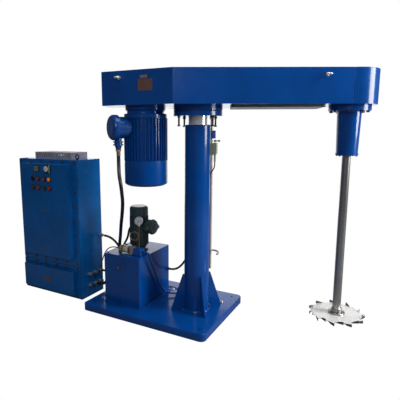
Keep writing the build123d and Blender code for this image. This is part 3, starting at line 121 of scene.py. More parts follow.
def new_material(name):
    material = bpy.data.materials.new(name)
    material.use_nodes = True
    return material, material.node_tree, material.node_tree.nodes["Principled BSDF"]


def noise(tree, scale, detail=2.0, stretch=(1, 1, 1)):
    """Noise over the object's own coordinates, in metres, stretched along the axes."""
    place = tree.nodes.new("ShaderNodeTexCoord")
    mapping = tree.nodes.new("ShaderNodeMapping")
    mapping.inputs["Scale"].default_value = stretch
    texture = tree.nodes.new("ShaderNodeTexNoise")
    texture.inputs["Scale"].default_value = scale
    texture.inputs["Detail"].default_value = detail
    tree.links.new(place.outputs["Object"], mapping.inputs["Vector"])
    tree.links.new(mapping.outputs[0], texture.inputs["Vector"])
    return texture.outputs["Fac"]


def spread(tree, value, low, high):
    """Maps the middle of a noise onto the range from low to high."""
    node = tree.nodes.new("ShaderNodeMapRange")
    node.inputs["From Min"].default_value = 0.3
    node.inputs["From Max"].default_value = 0.7
    node.inputs["To Min"].default_value = low
    node.inputs["To Max"].default_value = high
    tree.links.new(value, node.inputs["Value"])
    return node.outputs["Result"]


def blend_colours(tree, factor, first, second):
    node = tree.nodes.new("ShaderNodeMix")
    node.data_type = "RGBA"
    node.inputs["A"].default_value = (*first, 1)
    node.inputs["B"].default_value = (*second, 1)
    tree.links.new(factor, node.inputs["Factor"])
    return node.outputs["Result"]


def surface(tree, shader, height=None, depth=0.0, edge=0.0):
    """Normal from a height texture, on edges that are rounded by shading alone."""
    normal = None
    if edge:
        rounded = tree.nodes.new("ShaderNodeBevel")
        rounded.inputs["Radius"].default_value = edge
        rounded.samples = 4
        normal = rounded.outputs["Normal"]
    if height is not None:
        bump = tree.nodes.new("ShaderNodeBump")
        bump.inputs["Distance"].default_value = depth
        bump.inputs["Strength"].default_value = 1.0
        tree.links.new(height, bump.inputs["Height"])
        if normal is not None:
            tree.links.new(normal, bump.inputs["Normal"])
        normal = bump.outputs["Normal"]
    if normal is not None:
        tree.links.new(normal, shader.inputs["Normal"])


def scaled(colour, factor):
    return tuple(min(1.0, c * factor) for c in colour)


def paint(name, colour, roughness=0.20, coat=0.32, peel=0.00006, edge=0.002):
    """Sprayed gloss paint: faint patches, orange peel and a clear top."""
    material, tree, shader = new_material(name)
    patches = spread(tree, noise(tree, 4.0, 4.0), 0.0, 1.0)
    colours = blend_colours(tree, patches, scaled(colour, 0.86), scaled(colour, 1.12))
    tree.links.new(colours, shader.inputs["Base Color"])
    gloss = spread(tree, noise(tree, 9.0, 5.0), roughness * 0.8, roughness * 1.3)
    tree.links.new(gloss, shader.inputs["Roughness"])
    shader.inputs["Specular IOR Level"].default_value = 0.20
    shader.inputs["Coat Weight"].default_value = coat
    shader.inputs["Coat Roughness"].default_value = 0.05
    surface(tree, shader, noise(tree, 160.0, 2.0), peel, edge)
    return material


def metal(name, colour, roughness, grain=(1, 1, 1), grain_scale=60.0, depth=0.00002, edge=0.0008, metallic=1.0):
    """Bare metal whose grain runs along the axes with small stretch."""
    material, tree, shader = new_material(name)
    lines = noise(tree, grain_scale, 3.0, grain)
    patches = spread(tree, noise(tree, 7.0, 4.0), 0.0, 1.0)
    colours = blend_colours(tree, patches, scaled(colour, 0.88), scaled(colour, 1.06))
    tree.links.new(colours, shader.inputs["Base Color"])
    tree.links.new(spread(tree, lines, roughness * 0.75, roughness * 1.3), shader.inputs["Roughness"])
    shader.inputs["Metallic"].default_value = metallic
    surface(tree, shader, lines, depth, edge)
    return material


def steel_with_shaded_flanks(name, face, side, roughness):
    """Sanded plate with painted shade: its upright cut edges and tooth flanks are darker than its flat faces."""
    material, tree, shader = new_material(name)
    geometry = tree.nodes.new("ShaderNodeNewGeometry")
    parts = tree.nodes.new("ShaderNodeSeparateXYZ")
    upright = tree.nodes.new("ShaderNodeMath")
    upright.operation = "ABSOLUTE"
    tree.links.new(geometry.outputs["True Normal"], parts.inputs[0])
    tree.links.new(parts.outputs["Z"], upright.inputs[0])
    flat = tree.nodes.new("ShaderNodeMapRange")
    flat.inputs["From Min"].default_value = 0.45
    flat.inputs["From Max"].default_value = 0.85
    tree.links.new(upright.outputs[0], flat.inputs["Value"])
    patches = spread(tree, noise(tree, 7.0, 4.0), 0.0, 1.0)
    faces = blend_colours(tree, patches, scaled(face, 0.92), scaled(face, 1.06))
    # Painted shade: faces that stand upright take the dark side colour, and flat faces take the steel colour.
    chosen = blend_colours(tree, flat.outputs["Result"], side, face)
    tree.links.new(faces, chosen.node.inputs["B"])
    tree.links.new(chosen, shader.inputs["Base Color"])
    lines = noise(tree, 90.0, 3.0)
    tree.links.new(spread(tree, lines, roughness * 0.75, roughness * 1.3), shader.inputs["Roughness"])
    shader.inputs["Metallic"].default_value = 0.45
    surface(tree, shader, lines, 0.00002, 0.0006)
    return material


def plastic(name, colour, roughness=0.35, coat=0.0, edge=0.0008, depth=0.00003):
    """Moulded plastic or rubber: fine grain and faint shade changes."""
    material, tree, shader = new_material(name)
    patches = spread(tree, noise(tree, 12.0, 3.0), 0.0, 1.0)
    colours = blend_colours(tree, patches, scaled(colour, 0.85), scaled(colour, 1.15))
    tree.links.new(colours, shader.inputs["Base Color"])
    gloss = spread(tree, noise(tree, 30.0, 3.0), roughness * 0.85, roughness * 1.2)
    tree.links.new(gloss, shader.inputs["Roughness"])
    shader.inputs["Coat Weight"].default_value = coat
    surface(tree, shader, noise(tree, 900.0, 2.0), depth, edge)
    return material


def lens(name, colour, glow=0.0):
    """Ribbed coloured lens of a pilot lamp."""
    material, tree, shader = new_material(name)
    patches = spread(tree, noise(tree, 90.0, 2.0), 0.0, 1.0)
    colours = blend_colours(tree, patches, scaled(colour, 0.8), scaled(colour, 1.2))
    tree.links.new(colours, shader.inputs["Base Color"])
    shader.inputs["Roughness"].default_value = 0.12
    shader.inputs["Coat Weight"].default_value = 1.0
    shader.inputs["Transmission Weight"].default_value = 0.25
    shader.inputs["Emission Color"].default_value = (*colour, 1)
    shader.inputs["Emission Strength"].default_value = glow
    surface(tree, shader, noise(tree, 400.0, 1.0), 0.00005, 0.0)
    return material


def banded(name, axis, low, high, bands, roughness=0.35, metallic=0.0):
    """Paint bands along one axis of a node: each band is a share of the way and a colour."""
    material, tree, shader = new_material(name)
    place = tree.nodes.new("ShaderNodeTexCoord")
    parts = tree.nodes.new("ShaderNodeSeparateXYZ")
    tree.links.new(place.outputs["Object"], parts.inputs[0])
    along = tree.nodes.new("ShaderNodeMapRange")
    along.inputs["From Min"].default_value = low
    along.inputs["From Max"].default_value = high
    tree.links.new(parts.outputs[axis], along.inputs["Value"])
    ramp = tree.nodes.new("ShaderNodeValToRGB")
    ramp.color_ramp.interpolation = "CONSTANT"
    while len(ramp.color_ramp.elements) < len(bands):
        ramp.color_ramp.elements.new(0.5)
    for element, (share, colour) in zip(ramp.color_ramp.elements, bands):
        element.position = share
        element.color = (*colour, 1)
    tree.links.new(along.outputs["Result"], ramp.inputs["Fac"])
    shade = tree.nodes.new("ShaderNodeMix")
    shade.data_type = "RGBA"
    shade.blend_type = "MULTIPLY"
    shade.inputs["Factor"].default_value = 1.0
    tree.links.new(ramp.outputs["Color"], shade.inputs["A"])
    tree.links.new(blend_colours(tree, spread(tree, noise(tree, 40.0, 3.0), 0.0, 1.0), (0.8, 0.8, 0.8), (1, 1, 1)),
                   shade.inputs["B"])
    tree.links.new(shade.outputs["Result"], shader.inputs["Base Color"])
    gloss = spread(tree, noise(tree, 60.0, 3.0), roughness * 0.8, roughness * 1.3)
    tree.links.new(gloss, shader.inputs["Roughness"])
    shader.inputs["Metallic"].default_value = metallic
    surface(tree, shader, noise(tree, 300.0, 2.0), 0.00004, 0.0008)
    return material


def glass(name):
    material, tree, shader = new_material(name)
    shader.inputs["Base Color"].default_value = (0.96, 0.98, 1.0, 1)
    gloss = spread(tree, noise(tree, 40.0, 2.0), 0.02, 0.06)
    tree.links.new(gloss, shader.inputs["Roughness"])
    shader.inputs["Transmission Weight"].default_value = 1.0
    shader.inputs["Alpha"].default_value = 0.25
    return material


BLUE = (0.0004, 0.058, 0.275)
GRAIN_ROUND = (1, 1, 60)
GRAIN_LONG = (60, 60, 1)

PAINT = paint("blue_gloss_paint", BLUE)
CABINET_PAINT = paint("cabinet_cover_paint", (0.0014, 0.098, 0.340), 0.24, 0.35)
# Painted light: the shell takes a lighter copy of the covers' blue, standing in for the light on the cabinet's side.
LIT_SHELL_PAINT = paint("cabinet_shell_painted_light", (0.0030, 0.150, 0.480), 0.24, 0.35)
PUMP_PAINT = paint("pump_motor_paint", (0.034, 0.064, 0.070), 0.30, 0.5)
CHROME = metal("ground_chrome", (0.90, 0.87, 0.81), 0.16, GRAIN_ROUND, 30.0, metallic=0.45)
SHAFT_STEEL = metal("ground_shaft_steel", (0.34, 0.33, 0.32), 0.30, GRAIN_ROUND, 40.0)
# The second colour is painted shade on the disc's upright cut edges and tooth flanks.
DISC_STEEL = steel_with_shaded_flanks("sanded_steel_with_shaded_flanks", (0.86, 0.85, 0.83), (0.07, 0.07, 0.075), 0.42)
ZINC = metal("zinc_plated_steel", (0.50, 0.49, 0.46), 0.36, (1, 1, 1), 120.0)
DARK_BOLT = metal("blackened_bolt_steel", (0.07, 0.07, 0.075), 0.38, (1, 1, 1), 120.0)
ROD_STEEL = metal("drawn_rod_steel", (0.62, 0.55, 0.48), 0.34, GRAIN_LONG, 20.0, metallic=0.4)
BRASS = metal("turned_brass", (0.46, 0.31, 0.11), 0.28, GRAIN_ROUND, 60.0)
BRONZE_TUBE = metal("bronze_tube", (0.26, 0.19, 0.09), 0.34, GRAIN_ROUND, 60.0)
PALE_BRASS = metal("nickelled_brass", (0.70, 0.66, 0.52), 0.28, GRAIN_ROUND, 60.0)
IRON = metal("machined_cast_iron", (0.22, 0.23, 0.25), 0.50, (1, 1, 1), 140.0, 0.00006)
CORE = metal("laminated_core_steel", (0.30, 0.30, 0.31), 0.50, (1, 1, 90), 20.0)
RUBBER = plastic("black_cable_rubber", (0.012, 0.012, 0.013), 0.30)
BELT = plastic("drive_belt_rubber", (0.02, 0.02, 0.021), 0.60)
BLACK = plastic("black_moulded_plastic", (0.015, 0.015, 0.017), 0.30)
SWITCH = paint("grey_green_enamel", (0.30, 0.34, 0.26), 0.42, 0.1)
WHITE_FACE = plastic("white_dial_enamel", (0.62, 0.62, 0.62), 0.40)
FAN_PLASTIC = plastic("dark_fan_plastic", (0.05, 0.05, 0.055), 0.45)
GREEN = plastic("green_button_plastic", (0.008, 0.055, 0.022), 0.24, 0.5)
RED = plastic("red_button_plastic", (0.36, 0.012, 0.016), 0.24, 0.5)
DARK_RED_LENS = lens("dark_red_lens", (0.26, 0.006, 0.010), 0.05)
ORANGE_LENS = lens("orange_lens", (0.85, 0.25, 0.015), 0.25)
CLEAR = glass("clear_cover_glass")
PALE_PLATE = metal("bare_aluminium_plate", (0.20, 0.16, 0.14), 0.45, (1, 60, 60), 20.0)
BRONZE_PLATE = plastic("bare_bronze_plate", (0.125, 0.062, 0.048), 0.40, 0.1)
TAN_PLATE = plastic("bare_tan_plate", (0.27, 0.17, 0.10), 0.40, 0.1)
WINDOW = plastic("pale_green_window", (0.17, 0.24, 0.16), 0.14, 0.6)
SEGMENTS = plastic("dark_green_segments", (0.04, 0.07, 0.04), 0.4)
GREY_SHEET = plastic("grey_powder_coat", (0.33, 0.31, 0.33), 0.42, 0.1)
DIAL = plastic("grey_dial_enamel", (0.42, 0.45, 0.50), 0.35)
CREAM = plastic("cream_meter_edge", (0.62, 0.58, 0.46), 0.35)
BOLT_BROWN = (0.085, 0.055, 0.042)

VALVE_LOW, VALVE_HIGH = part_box("solenoid_valve")
VALVE = banded("valve_bands", "X", VALVE_LOW.x, VALVE_HIGH.x, (
    (0.0, (0.03, 0.03, 0.03)), (0.14, (0.50, 0.36, 0.12)), (0.30, (0.06, 0.05, 0.05)), (0.36, (0.60, 0.50, 0.26)),
    (0.52, (0.72, 0.70, 0.66)), (0.66, (0.10, 0.08, 0.07)), (0.76, (0.34, 0.27, 0.28))), 0.30, 0.25)
FASTENER_LOW, FASTENER_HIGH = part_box("cabinet_fasteners")
ROOF_SHARE = (1.3632 - FASTENER_LOW.z) / (FASTENER_HIGH.z - FASTENER_LOW.z)
BOLTS_AND_EYES = banded("bolts_and_eyes", "Z", FASTENER_LOW.z, FASTENER_HIGH.z, (
    (0.0, BOLT_BROWN), (ROOF_SHARE, (0.003, 0.030, 0.10))), 0.30, 0.3)

PLUG_LOW, PLUG_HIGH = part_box("tank_plugs")
PLUGS = banded("tank_plug_finish", "Z", PLUG_LOW.z, PLUG_HIGH.z, ((0.0, BLUE), (0.5, (0.20, 0.13, 0.06))), 0.30, 0.3)

BOX_LOW, BOX_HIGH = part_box("motor_terminal_box")
SLEEVE_TOP, RING_TOP = 1.460, 1.474
TERMINAL_PAINT = banded("terminal_box_paint", "Z", BOX_LOW.z, BOX_HIGH.z, (
    (0.0, (0.20, 0.17, 0.13)), ((SLEEVE_TOP - BOX_LOW.z) / (BOX_HIGH.z - BOX_LOW.z), (0.50, 0.33, 0.11)),
    ((RING_TOP - BOX_LOW.z) / (BOX_HIGH.z - BOX_LOW.z), BLUE)), 0.24)

NODE_MATERIALS = {
    PAINT: ["base_plate", "column_tube", "column_brackets", "ram_guides", "tank_shell", "tank_lid",
            "valve_manifold", "delivery_pipe", "lower_ring", "upper_ring", "beam_shell", "beam_cover",
            "nose_cover", "motor_end_bell", "motor_housing", "fan_cowl",
            "spindle_housing"],
    CABINET_PAINT: ["upper_cover", "lower_cover"],
    LIT_SHELL_PAINT: ["cabinet_shell"],
    GREY_SHEET: ["vent_box"],
    PUMP_PAINT: ["pump_motor"],
    CHROME: ["ram", "pressure_gauge", "button_bezels", "beam_eyebolts"],
    SHAFT_STEEL: ["mixer_shaft", "disc_nut", "shaft_bearings"],
    DISC_STEEL: ["disperser_disc"],
    ZINC: ["switch_lever"],
    BOLTS_AND_EYES: ["cabinet_fasteners"],
    DARK_BOLT: ["slew_fasteners", "flange_bolts"],
    ROD_STEEL: ["guide_rod"],
    VALVE: ["solenoid_valve"],
    TERMINAL_PAINT: ["motor_terminal_box"],
    BRONZE_TUBE: ["gauge_pipe"],
    PLUGS: ["tank_plugs"],
    PALE_BRASS: ["cable_glands"],
    IRON: ["gear_pump", "motor_pulley", "spindle_pulley"],
    CORE: ["stator_core", "rotor"],
    RUBBER: ["motor_conduit", "pump_cable", "valve_cable", "switch_cable", "return_hose"],
    BELT: ["drive_belts"],
    BLACK: ["panel_instruments", "selector_knob"],
    SWITCH: ["limit_switch"],
    FAN_PLASTIC: ["cooling_fan"],
    GREEN: ["start_button", "raise_button"],
    RED: ["stop_button", "lower_button"],
    DARK_RED_LENS: ["pilot_lamps"],
}


def dress(thing, material):
    thing.data.materials.clear()
    thing.data.materials.append(material)
    return thing


for material, names in NODE_MATERIALS.items():
    for name in names:
        dress(NODES[name], material)


# Mesh tools

def make_piece(name, mesh, material, body):
    piece = bpy.data.objects.new(name, mesh)
    bpy.context.scene.collection.objects.link(piece)
    dress(piece, material)
    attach(piece, body)
    return piece


def facing(place, outward, up=(0, 0, 1)):
    """Matrix whose Z looks outward, with its Y as near to up as it goes."""
    z = Vector(outward).normalized()
    x = Vector(up).cross(z).normalized()
    y = z.cross(x)
    matrix = Matrix((x, y, z)).transposed().to_4x4()
    matrix.translation = Vector(place)
    return matrix


def lathe_into(bm, profile, matrix, segments=48):
    """Adds a closed turned form from (radius, height) points along the matrix's Z."""
    rings = []
    for radius, height in profile:
        if radius < 1e-6:
            rings.append([bm.verts.new(matrix @ Vector((0, 0, height)))])
            continue
        ring = []
        for index in range(segments):
            angle = 2 * math.pi * index / segments
            ring.append(bm.verts.new(matrix @ Vector((radius * math.cos(angle), radius * math.sin(angle), height))))
        rings.append(ring)
    for low, high in zip(rings, rings[1:]):
        for index in range(segments):
            after = (index + 1) % segments
            corners = []
            for vert in (low[index % len(low)], low[after % len(low)], high[after % len(high)],
                         high[index % len(high)]):
                if vert not in corners:
                    corners.append(vert)
            if len(corners) > 2:
                bm.faces.new(corners)


def mesh_from(bm, name, smooth_angle=35.0, bevel=0.0, bevel_segments=2):
    if bevel:
        sharp = [edge for edge in bm.edges if edge.is_manifold and edge.calc_face_angle(0) > math.radians(smooth_angle)]
        bmesh.ops.bevel(bm, geom=sharp, offset=bevel, segments=bevel_segments, profile=0.6, affect="EDGES",
                        clamp_overlap=True)
    bmesh.ops.recalc_face_normals(bm, faces=bm.faces)
    mesh = bpy.data.meshes.new(name)
    bm.to_mesh(mesh)
    bm.free()
    for polygon in mesh.polygons:
        polygon.use_smooth = True
    mesh.set_sharp_from_angle(angle=math.radians(smooth_angle))
    return mesh


def plate_into(bm, matrix, width, height, thickness, corner=0.0, steps=4):
    """Adds a flat plate with rounded corners, standing on the matrix's XY plane."""
    outline = []
    for sx, sy, start in ((1, 1, 0), (-1, 1, 90), (-1, -1, 180), (1, -1, 270)):
        cx = sx * (width / 2 - corner)
        cy = sy * (height / 2 - corner)
        count = steps if corner else 0
        for step in range(count + 1):
            angle = math.radians(start + (90 * step / steps if corner else 45))
            outline.append((cx + corner * math.cos(angle), cy + corner * math.sin(angle)))
    low = [bm.verts.new(matrix @ Vector((x, y, 0))) for x, y in outline]
    high = [bm.verts.new(matrix @ Vector((x, y, thickness))) for x, y in outline]
    bm.faces.new(low)
    bm.faces.new(high)
    for index in range(len(outline)):
        after = (index + 1) % len(outline)
        bm.faces.new((low[index], low[after], high[after], high[index]))


def tube_into(bm, points, radius, segments=20):
    """Adds a closed round bar along a line of points."""
    rings = []
    for index, point in enumerate(points):
        ahead = points[min(index + 1, len(points) - 1)]
        behind = points[max(index - 1, 0)]
        matrix = facing(point, ahead - behind, (0.31, 0.95, 0.05))
        rings.append([bm.verts.new(matrix @ Vector((radius * math.cos(2 * math.pi * step / segments),
                                                    radius * math.sin(2 * math.pi * step / segments), 0)))
                      for step in range(segments)])
    for low, high in zip(rings, rings[1:]):
        for step in range(segments):
            after = (step + 1) % segments
            bm.faces.new((low[step], low[after], high[after], high[step]))
    bm.faces.new(rings[0])
    bm.faces.new(rings[-1])


def route_points(cord):
    """Points of a cord's own spline, read without its thickness."""
    line = cord.data.copy()
    line.bevel_depth = 0
    carrier = bpy.data.objects.new("route_line", line)
    mesh = bpy.data.meshes.new_from_object(carrier)
    points = [vertex.co.copy() for vertex in mesh.vertices]
    bpy.data.objects.remove(carrier)
    bpy.data.meshes.remove(mesh)
    bpy.data.curves.remove(line)
    return points


def turned(x, y=0.0, angle=HEAD_TURN):
    """Point of the head's own plan, turned about the column."""
    return (x * math.cos(angle) - y * math.sin(angle), x * math.sin(angle) + y * math.cos(angle))


def floor_material():
    """White studio floor that gives the object only a weak bounce and no mirror image."""
    material, tree, shader = new_material("pale_floor")
    shader.inputs["Base Color"].default_value = (*FLOOR_BOUNCE, 1)
    shader.inputs["Roughness"].default_value = 0.9
    lit = tree.nodes.new("ShaderNodeEmission")
    lit.inputs["Color"].default_value = (1, 1, 1, 1)
    rays = tree.nodes.new("ShaderNodeLightPath")
    chosen = tree.nodes.new("ShaderNodeMixShader")
    output = tree.nodes["Material Output"]
    tree.links.new(rays.outputs["Is Camera Ray"], chosen.inputs["Fac"])
    tree.links.new(shader.outputs[0], chosen.inputs[1])
    tree.links.new(lit.outputs[0], chosen.inputs[2])
    tree.links.new(chosen.outputs[0], output.inputs["Surface"])
    return material


FLOOR_BOUNCE = (0.22, 0.23, 0.25)


def make_floor():
    bm = bmesh.new()
    size = 14
    for corner in ((-size, -size), (size, -size), (size, size), (-size, size)):
        bm.verts.new((*corner, 0))
    bm.faces.new(bm.verts)
    floor = bpy.data.objects.new("floor", mesh_from(bm, "floor"))
    bpy.context.scene.collection.objects.link(floor)
    dress(floor, floor_material())



# Panel: every instrument stands on the front face of the upper cover's raised pan

PANEL_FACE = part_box("upper_cover")[0].y
PANEL_OUT = (0, -1, 0)
DEVICE_XS = (-1.624, -1.554, -1.471, -1.405)
LAMP_Z = 1.175
BUTTON_Z = 1.087


def panel_at(x, z, out=0.0):
    return facing((x, PANEL_FACE - out, z), PANEL_OUT)


def make_bezel_ring(name, x, z, bore):
    """Black moulded surround of a panel device."""
    bm = bmesh.new()
    profile = [(bore, 0.0), (0.0250, 0.0), (0.0255, 0.0016), (0.0255, 0.0075), (0.0235, 0.0105),
               (0.0200, 0.0110), (bore + 0.0002, 0.0098), (bore, 0.0)]
    lathe_into(bm, profile, panel_at(x, z), 36)
    return make_piece(name, mesh_from(bm, name), BLACK, "base")


DEVICE_BORE = 0.0186
SELECTOR_BORE = 0.0112


def make_lamp_lens(name, x, z, material):
    """Domed lens with concentric ribs."""
    bm = bmesh.new()
    profile = [(0.0182, 0.004), (0.0184, 0.0105), (0.0176, 0.0128), (0.0140, 0.0140), (0.0134, 0.0135),
               (0.0104, 0.0152), (0.0096, 0.0147), (0.0062, 0.0160), (0.0, 0.0163)]
    lathe_into(bm, profile, panel_at(x, z), 32)
    return make_piece(name, mesh_from(bm, name), material, "base")


def make_button(name, x, material, body, node):
    """Round push-button cap with a dished face."""
    bm = bmesh.new()
    profile = [(0.0, 0.0042), (0.0178, 0.0042), (0.0178, 0.0132), (0.0166, 0.0150), (0.0140, 0.0148),
               (0.0120, 0.0140), (0.0, 0.0137)]
    lathe_into(bm, profile, panel_at(x, BUTTON_Z), 36)
    cap = make_piece(name, mesh_from(bm, name), material, body)
    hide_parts(node)


def make_panel_devices():
    for index, x in enumerate(DEVICE_XS[1:]):
        make_bezel_ring(f"lamp_bezel_{index}", x, LAMP_Z, DEVICE_BORE)
    for index, (x, material) in enumerate(zip(DEVICE_XS[1:], (DARK_RED_LENS, DARK_RED_LENS, ORANGE_LENS))):
        make_lamp_lens(f"lamp_lens_{index}", x, LAMP_Z, material)
    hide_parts("pilot_lamps")
    selector_ring = make_bezel_ring("selector_ring", DEVICE_XS[0], LAMP_Z, SELECTOR_BORE)
    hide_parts("button_bezels")
    for index, x in enumerate(DEVICE_XS):
        make_bezel_ring(f"button_ring_{index}", x, BUTTON_Z, DEVICE_BORE)
    for x, word, material in zip(DEVICE_XS, ("start", "stop", "raise", "lower"), (GREEN, RED, GREEN, RED)):
        make_button(f"{word}_cap", x, material, f"{word}_push", f"{word}_button")
    bm = bmesh.new()
    for x in DEVICE_XS:
        for z in (LAMP_Z, BUTTON_Z):
            plate_into(bm, panel_at(x, z + 0.034, 0.0), 0.026, 0.009, 0.0012, 0.002)
    make_piece("device_plates", mesh_from(bm, "device_plates", bevel=0.0003), PALE_PLATE, "base")


LOCK_PLACES = ((-1.512, 0.862), (-1.497, 0.493))
LOWER_PLATE = (-1.494, 0.166)


def make_cabinet_marks():
    """Two oval locks on the upper cover and a bare plate on the lower one."""
    bm = bmesh.new()
    for x, z in LOCK_PLACES:
        plate_into(bm, panel_at(x, z), 0.040, 0.020, 0.004, 0.0099, 8)
    make_piece("cover_locks", mesh_from(bm, "cover_locks", bevel=0.001), BRONZE_PLATE, "base")
    bm = bmesh.new()
    plate_into(bm, panel_at(*LOWER_PLATE), 0.092, 0.042, 0.0014, 0.003)
    make_piece("lower_plate", mesh_from(bm, "lower_plate", bevel=0.0003), BRONZE_PLATE, "base")


METER_BOX = ((-1.461, -1.381), (1.236, 1.316))
DISPLAY_BOX = ((-1.606, -1.534), (1.244, 1.305))
METER_DEPTH = 0.014
DISPLAY_DEPTH = 0.008
METER_SWEEP = 90
METER_TICKS = 11


def make_meter():
    """Square ammeter: round white scale with an arc of ticks, pointer, hub and cream edge."""
    (x0, x1), (z0, z1) = METER_BOX
    cx = (x0 + x1) / 2 - 0.010
    cz = (z0 + z1) / 2
    bm = bmesh.new()
    lathe_into(bm, [(0.0, 0.0), (0.0285, 0.0), (0.0285, 0.0010), (0.0275, 0.0014), (0.0, 0.0014)],
               panel_at(cx, cz, METER_DEPTH), 48)
    make_piece("meter_scale", mesh_from(bm, "meter_scale"), WHITE_FACE, "base")
    bm = bmesh.new()
    plate_into(bm, panel_at(x1 - 0.006, cz, METER_DEPTH), 0.007, 0.074, 0.0014, 0.001)
    make_piece("meter_edge", mesh_from(bm, "meter_edge"), CREAM, "base")
    bm = bmesh.new()
    for index in range(METER_TICKS):
        angle = math.radians(45 + METER_SWEEP * index / (METER_TICKS - 1))
        length = 0.006 if index % 5 == 0 else 0.0035
        reach = 0.0255 - length / 2
        matrix = panel_at(cx + reach * math.cos(angle), cz + reach * math.sin(angle), METER_DEPTH + 0.0014)
        plate_into(bm, matrix @ Matrix.Rotation(angle - math.pi / 2, 4, "Z"), 0.0008, length, 0.0003)
    angle = math.radians(45 + METER_SWEEP * 0.98)
    matrix = panel_at(cx + 0.010 * math.cos(angle), cz + 0.010 * math.sin(angle), METER_DEPTH + 0.0018)
    plate_into(bm, matrix @ Matrix.Rotation(angle - math.pi / 2, 4, "Z"), 0.0012, 0.026, 0.0005)
    lathe_into(bm, [(0.0, 0.0), (0.0045, 0.0), (0.0040, 0.0016), (0.0, 0.0018)],
               panel_at(cx, cz, METER_DEPTH + 0.0014), 20)
    make_piece("meter_marks", mesh_from(bm, "meter_marks"), BLACK, "base")


def make_display():
    """Digital display: dark window with one row of four digits of plain number segments."""
    (x0, x1), (z0, z1) = DISPLAY_BOX
    bm = bmesh.new()
    plate_into(bm, panel_at((x0 + x1) / 2, (z0 + z1) / 2, DISPLAY_DEPTH), 0.060, 0.048, 0.0008, 0.003)
    make_piece("display_window", mesh_from(bm, "display_window", bevel=0.0002), WINDOW, "base")
    bm = bmesh.new()
    for column in range(4):
        x = x0 + 0.016 + column * 0.0135
        z = (z0 + z1) / 2
        for dx, dz, width, height in ((0, 0.014, 0.007, 0.0014), (0, 0, 0.007, 0.0014), (0, -0.014, 0.007, 0.0014),
                                      (0.0042, 0.007, 0.0014, 0.011), (0.0042, -0.007, 0.0014, 0.011),
                                      (-0.0042, 0.007, 0.0014, 0.011), (-0.0042, -0.007, 0.0014, 0.011)):
            if column == 3 and dz == 0 and dx == 0:
                continue
            plate_into(bm, panel_at(x + dx, z + dz, DISPLAY_DEPTH + 0.0008), width, height, 0.0002)
    make_piece("display_segments", mesh_from(bm, "display_segments"), SEGMENTS, "base")


# Pressure gauge

GAUGE_BACK_OUT = math.radians(-60)
GAUGE_TICKS = 25
GAUGE_SWEEP = 270


def make_gauge():
    """White dial with ticks and a pointer under glass, inside the case's rim."""
    low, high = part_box("pressure_gauge")
    out = Vector((math.cos(GAUGE_BACK_OUT), math.sin(GAUGE_BACK_OUT), 0))
    centre = Vector(((low.x + high.x) / 2, (low.y + high.y) / 2, high.z - 0.037))
    dial = facing(centre + out * 0.0165, out)
    bm = bmesh.new()
    lathe_into(bm, [(0.0, -0.0005), (0.0325, -0.0005), (0.0325, 0.0004), (0.0, 0.0004)], dial, 48)
    make_piece("gauge_dial", mesh_from(bm, "gauge_dial"), DIAL, "base")
    bm = bmesh.new()
    for index in range(GAUGE_TICKS):
        angle = math.radians(225 - GAUGE_SWEEP * index / (GAUGE_TICKS - 1))
        length = 0.005 if index % 4 == 0 else 0.003
        matrix = dial @ Matrix.Rotation(angle - math.pi / 2, 4, "Z") @ Matrix.Translation((0, 0.0295 - length / 2, 0.0004))
        plate_into(bm, matrix, 0.0007, length, 0.0002)
    pointer = dial @ Matrix.Rotation(math.radians(225 - 90), 4, "Z") @ Matrix.Translation((0, 0.008, 0.0012))
    plate_into(bm, pointer, 0.0014, 0.034, 0.0004)
    lathe_into(bm, [(0.0, 0.0004), (0.004, 0.0004), (0.0036, 0.0022), (0.0, 0.0024)], dial, 24)
    make_piece("gauge_pointer", mesh_from(bm, "gauge_pointer"), BLACK, "base")
    bm = bmesh.new()
    lathe_into(bm, [(0.0, 0.0032), (0.0328, 0.0032), (0.0328, 0.0042), (0.0, 0.0046)], dial, 48)
    make_piece("gauge_glass", mesh_from(bm, "gauge_glass"), CLEAR, "base")


# Bare plates on the beam's front wall

BEAM_SHOULDER = turned(-0.179, -0.327)
BEAM_END = turned(-0.779, -0.139)


def beam_front(along, z, out=0.0):
    """Matrix on the beam's left front wall, at a distance along it from its outer end."""
    start = Vector((*BEAM_END, 0))
    run = (Vector((*BEAM_SHOULDER, 0)) - start).normalized()
    out_dir = Vector((run.y, -run.x, 0))
    return facing(start + run * along + out_dir * out + Vector((0, 0, z)), out_dir)


def make_beam_plates():
    bm = bmesh.new()
    plate_into(bm, beam_front(0.396, 1.983), 0.126, 0.089, 0.0012, 0.004)
    make_piece("beam_plate_large", mesh_from(bm, "beam_plate_large", bevel=0.0003), BRONZE_PLATE, "head")
    bm = bmesh.new()
    plate_into(bm, beam_front(0.384, 2.045), 0.062, 0.022, 0.0012, 0.003)
    make_piece("beam_plate_small", mesh_from(bm, "beam_plate_small", bevel=0.0003), TAN_PLATE, "head")


# Small parts that stand on the base

SLEEVE_START = 0.022
SLEEVE_LENGTH = 0.34
SLEEVE_RADIUS = 0.0115


def make_sleeve(cord):
    """Thick rubber sleeve over the first part of the switch lead."""
    points = route_points(cord)
    chosen = []
    along = 0.0
    for before, after in zip(points, points[1:]):
        along += (after - before).length
        if SLEEVE_START < along < SLEEVE_START + SLEEVE_LENGTH:
            chosen.append(after)
    bm = bmesh.new()
    tube_into(bm, chosen, SLEEVE_RADIUS)
    return make_piece("switch_sleeve", mesh_from(bm, "switch_sleeve"), RUBBER, "base")


# Cords: the same routes as in the source, in millimetres, turned into metres here

